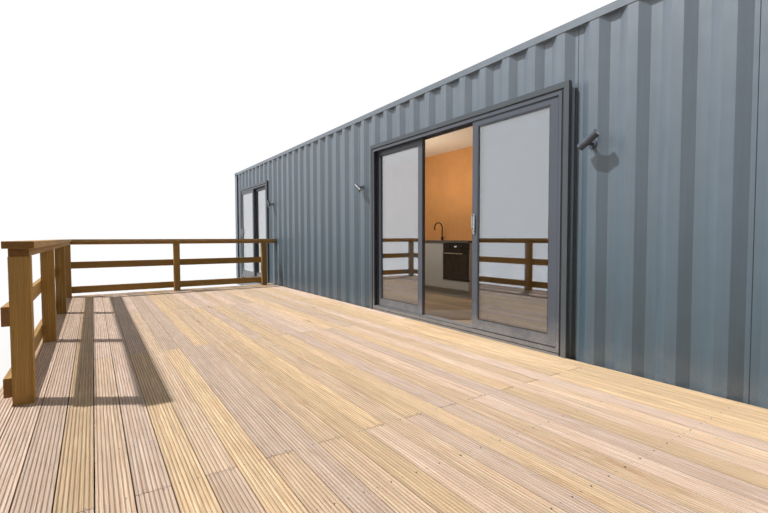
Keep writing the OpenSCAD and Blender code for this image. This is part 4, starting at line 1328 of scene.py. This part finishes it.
class CABIN_OT_kitchen(bpy.types.Operator):
    """Finish the kitchen units, the sink and the oven"""
    bl_idname = "cabin.kitchen"
    bl_label = "Kitchen"

    def execute(self, context):
        room = context.scene.cabin_room
        dress(board_finish("Kitchen Front", room.fronts, 0.03), "kitchen_units", "kitchen_plinth")
        dress(board_finish("Worktop Laminate", (0.09, 0.085, 0.078), 0.3), "worktop")
        black = coat_finish("Black Metal", (0.014, 0.014, 0.015), mottle=0.15)
        dress(black, "tap", "oven", "oven_door")
        steel = metal_finish("Sink Steel", (0.66, 0.66, 0.65))
        dress(steel, "sink")
        self.fit_sink(steel, black)
        self.fit_oven(steel)
        return {"FINISHED"}

    def fit_sink(self, steel, black):
        """A waste in the bowl and an aerator ring on the tap"""
        low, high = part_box("sink")
        waste = in_mm((0, 1), (20, 1), (30, 3), (42, 3), (45, 0.2), (0, 0.2))
        bowl = over_middle(low, high, low.z + 2 * MM)
        keep(turned_object("sink_waste", waste, [bowl], steel), "root", "handle_steel")
        tap_low, tap_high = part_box("tap")
        arch = 101 * MM
        drop = 40 * MM
        ring = in_mm((7, -3), (11.6, -3), (11.9, -1), (11.9, 9), (11.2, 10), (7, 10), (7, -3))
        spout = Matrix.Translation((tap_low.x + 22 * MM, tap_low.y + 11 * MM,
                                    tap_high.z - arch - drop))
        keep(turned_object("tap_aerator", ring, [spout], black), "root", "black_metal")

    def fit_oven(self, steel):
        """A glass front on the flap, a sleeve on its bar, a clock and marks on the knobs"""
        window = board_finish("Oven Glass", (0.008, 0.008, 0.009), marks=0.1, depth=0.01 * MM)
        window.node_tree.nodes["Principled BSDF"].inputs["Coat Weight"].default_value = 1.0
        pale = glow_finish("Clock Glow", (0.75, 0.9, 1.0), 0.8)
        white = board_finish("Knob Mark", (0.8, 0.8, 0.78), 0.05)
        low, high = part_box("oven_door")
        bar_r = 8 * MM
        bar_y = low.y + bar_r
        face = bar_y + 38 * MM
        bar_z = high.z - 52 * MM
        glass = [((low.x + 4 * MM, face - 2.5 * MM, low.z + 8 * MM),
                  (high.x - 4 * MM, face, bar_z - 24 * MM))]
        keep(boxes_object("oven_glass", glass, window, 1 * MM), "oven_flap", "oven_enamel")
        tube = Matrix.Translation((low.x, bar_y, bar_z)) @ Matrix.Rotation(math.pi / 2, 4, "Y")
        start = 75 * MM
        end = high.x - low.x - start
        outer = bar_r + 0.8 * MM
        sleeve = [(bar_r, start), (outer, start), (outer, end), (bar_r, end), (bar_r, start)]
        keep(turned_object("oven_bar_sleeve", sleeve, [tube], steel), "oven_flap", "handle_steel")
        strip_low, strip_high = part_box("oven")
        middle = (strip_low.x + strip_high.x) / 2
        z = strip_high.z - 50 * MM
        strip_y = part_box("kitchen_units")[0].y
        half_x, half_z = 45 * MM, 13 * MM
        clock = [((middle - half_x, strip_y - 1 * MM, z - half_z),
                  (middle + half_x, strip_y, z + half_z))]
        keep(boxes_object("oven_clock_glass", clock, window, 0.3 * MM), "root", "oven_enamel")
        digits = []
        for i in range(4):
            x = middle + (i - 1.5) * 14 * MM
            digits.append(((x - 4 * MM, strip_y - 1.3 * MM, z - 6 * MM),
                           (x + 4 * MM, strip_y - 1 * MM, z + 6 * MM)))
        keep(boxes_object("oven_clock_digits", digits, pale), "root", "lamp_white")
        marks = []
        knob_reach = 150 * MM
        for x in (middle - knob_reach, middle + knob_reach):
            marks.append(((x - 1 * MM, strip_y - 16.4 * MM, z + 4 * MM),
                          (x + 1 * MM, strip_y - 16 * MM, z + 17 * MM)))
        keep(boxes_object("oven_knob_marks", marks, white), "root", "lamp_white")


# Stage

CAMERA_PLACE = (5.5604, -2.5242, 1.2108)
CAMERA_RIGHT = (0.55674, 0.83071, -0.00213)
CAMERA_BACK = (0.83008, -0.55634, 0.03852)
CAMERA_FOCUS_PX = 434.62
CAMERA_AXIS_PX = 254.44
PICTURE_SIZE = (768, 513)
KEY_DIRECTION = (0.42, 0.66, -0.945)
FILL_DIRECTION = (0.86, 0.5, -0.22)
BACK_DIRECTION = (-0.35, -0.85, -0.4)
SKY_TINT = (0.9, 0.95, 1.0, 1.0)
DIM_GREY = (0.2, 0.2, 0.2, 1.0)
FLOOR_REACH = 90.0
FADE_FROM = 9.0
FADE_TO = 24.0
ROOM_POWER = 17.0
LOSS_PER_METRE = 3.6
LEAST_POWER = 2.0


def aimed(direction):
    """A turn that points a lamp along a direction"""
    return Vector(direction).to_track_quat("-Z", "Y").to_euler()


def seen_share(graph):
    """1 for what the camera sees, by itself or in metal and glass, and 0 for bounced light"""
    path = graph.node("ShaderNodeLightPath")
    bent = graph.math("MAXIMUM", path.outputs["Is Glossy Ray"],
                      path.outputs["Is Transmission Ray"])
    return graph.math("MAXIMUM", path.outputs["Is Camera Ray"], bent)


class CABIN_OT_stage(bpy.types.Operator):
    """Set the floor, the lamps, the surroundings and the camera"""
    bl_idname = "cabin.stage"
    bl_label = "Studio Stage"

    def execute(self, context):
        stage = context.scene.cabin_stage
        self.make_floor(stage)
        self.make_world(stage)
        self.make_lamp("key_light", "SUN", stage.key, KEY_DIRECTION, angle=2)
        for name, strength, direction in (("fill_light", stage.fill, FILL_DIRECTION),
                                          ("back_light", stage.back, BACK_DIRECTION)):
            self.hide_lamp(self.make_lamp(name, "SUN", strength, direction, angle=60))
        self.make_room_lamps()
        self.make_camera()
        context.scene.view_settings.view_transform = "Standard"
        return {"FINISHED"}

    def make_floor(self, stage):
        """A wide pale floor that fades to white far off and throws little light back"""
        bm = bmesh.new()
        bmesh.ops.create_grid(bm, x_segments=1, y_segments=1, size=FLOOR_REACH)
        made, graph, shader = new_finish("Studio Floor")
        place = object_place(graph)
        cloud = graph.noise(place, 0.8, 3.0)
        level = graph.spread(cloud, 0.2, 0.8, 0.985, 1.0)
        graph.feed(shader.inputs["Base Color"], graph.scaled(rgba(stage.floor)[:3], level))
        shader.inputs["Roughness"].default_value = 0.9
        away = graph.node("ShaderNodeVectorMath", {0: place}, operation="LENGTH").outputs["Value"]
        seen = seen_share(graph)
        fade = graph.times(graph.spread(away, FADE_FROM, FADE_TO), seen)
        white = graph.node("ShaderNodeEmission", {"Color": WHITE, "Strength": 1.0})
        dim = graph.node("ShaderNodeBsdfDiffuse", {"Color": DIM_GREY})
        bounced = graph.math("SUBTRACT", 1.0, seen)
        plain = graph.blend(bounced, shader.outputs[0], dim.outputs[0])
        graph.show("Material Output", graph.blend(fade, plain, white.outputs[0]))
        floor = to_object("studio_floor", bm, made)

    def make_world(self, stage):
        """White behind the cabin and in its metal and glass, and soft light on it"""
        world = bpy.data.worlds.new("Studio")
        world.use_nodes = True
        bpy.context.scene.world = world
        graph = Graph(world.node_tree)
        soft = world.node_tree.nodes["Background"]
        soft.inputs["Color"].default_value = SKY_TINT
        soft.inputs["Strength"].default_value = stage.around
        white = graph.node("ShaderNodeBackground", {"Color": WHITE, "Strength": 1.0})
        graph.show("World Output",
                   graph.blend(seen_share(graph), soft.outputs[0], white.outputs[0]))

    def make_lamp(self, name, kind, strength, direction, angle=0.0, place=(0, 0, 8)):
        """A lamp that shines along a direction"""
        data = bpy.data.lights.new(name, kind)
        data.energy = strength
        if kind == "SUN":
            data.angle = math.radians(angle)
        made = bpy.data.objects.new(name, data)
        made.location = place
        made.rotation_euler = aimed(direction)
        bpy.context.scene.collection.objects.link(made)
        return made

    def hide_lamp(self, lamp):
        """Keep a wide lamp out of the view and out of metal and glass"""
        lamp.visible_camera = False
        lamp.visible_glossy = False
        lamp.visible_transmission = False

    def make_room_lamps(self):
        """Soft hidden lamps under the ceiling, shining down and up, strongest at the kitchen"""
        low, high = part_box("ceiling")
        middle = (low.y + high.y) / 2
        kitchen = sum(corner.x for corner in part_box("worktop")) / 2
        for i, (near, far) in enumerate(solid_boxes("ceiling_lights")):
            x = (near.x + far.x) / 2
            power = max(LEAST_POWER, ROOM_POWER - LOSS_PER_METRE * abs(x - kitchen))
            for name, share, direction, y, drop, colour in (
                    ("room_lamp", 1.0, (0.0, 0.8, -0.6), middle - 0.5, 0.5, (1.0, 0.91, 0.79)),
                    ("ceiling_wash", 0.5, (0.0, 0.1, 1.0), middle, 1.1, (1.0, 0.8, 0.58))):
                lamp = self.make_lamp(f"{name}_{i}", "AREA", share * power, direction,
                                      place=(x, y, low.z - drop))
                lamp.data.color = colour
                lamp.data.shape = "RECTANGLE"
                lamp.data.size = 1.4
                lamp.data.size_y = 0.5
                self.hide_lamp(lamp)

    def make_camera(self):
        """The camera that the photograph was matched with"""
        data = bpy.data.cameras.new("main_camera")
        data.sensor_fit = "HORIZONTAL"
        data.sensor_width = 36.0
        data.lens = CAMERA_FOCUS_PX / PICTURE_SIZE[0] * data.sensor_width
        data.shift_y = (CAMERA_AXIS_PX - PICTURE_SIZE[1] / 2) / PICTURE_SIZE[0]
        data.clip_start = 0.02
        data.clip_end = 400.0
        made = bpy.data.objects.new("main_camera", data)
        back = Vector(CAMERA_BACK).normalized()
        up = back.cross(Vector(CAMERA_RIGHT)).normalized()
        right = up.cross(back)
        turn = Matrix((right, up, back)).transposed().to_4x4()
        made.matrix_world = Matrix.Translation(CAMERA_PLACE) @ turn
        bpy.context.scene.collection.objects.link(made)
        bpy.context.scene.camera = made


# Panel and registration

SETTINGS = {"cabin_steel": SteelSettings, "cabin_doors": DoorSettings,
            "cabin_timber": TimberSettings, "cabin_room": RoomSettings,
            "cabin_stage": StageSettings}
STEPS = [CABIN_OT_steel, CABIN_OT_doors, CABIN_OT_wall_lights, CABIN_OT_deck,
         CABIN_OT_balustrade, CABIN_OT_room, CABIN_OT_kitchen, CABIN_OT_stage]


class CABIN_PT_panel(bpy.types.Panel):
    """The cabin's settings and steps"""
    bl_label = "Container Cabin"
    bl_idname = "CABIN_PT_panel"
    bl_space_type = "VIEW_3D"
    bl_region_type = "UI"
    bl_category = "Cabin"

    def draw(self, context):
        for key in SETTINGS:
            group = getattr(context.scene, key)
            box = self.layout.box()
            for name in group.__annotations__:
                box.prop(group, name)
        for step in STEPS:
            self.layout.operator(step.bl_idname)


def register():
    for item in (*SETTINGS.values(), *STEPS, CABIN_PT_panel):
        bpy.utils.register_class(item)
    for key, group in SETTINGS.items():
        setattr(bpy.types.Scene, key, PointerProperty(type=group))


def unregister():
    for key in SETTINGS:
        delattr(bpy.types.Scene, key)
    for item in (CABIN_PT_panel, *reversed(STEPS), *SETTINGS.values()):
        bpy.utils.unregister_class(item)


def main():
    register()
    for step in STEPS:
        group, name = step.bl_idname.split(".")
        getattr(getattr(bpy.ops, group), name)()


if __name__ == "__main__":
    main()
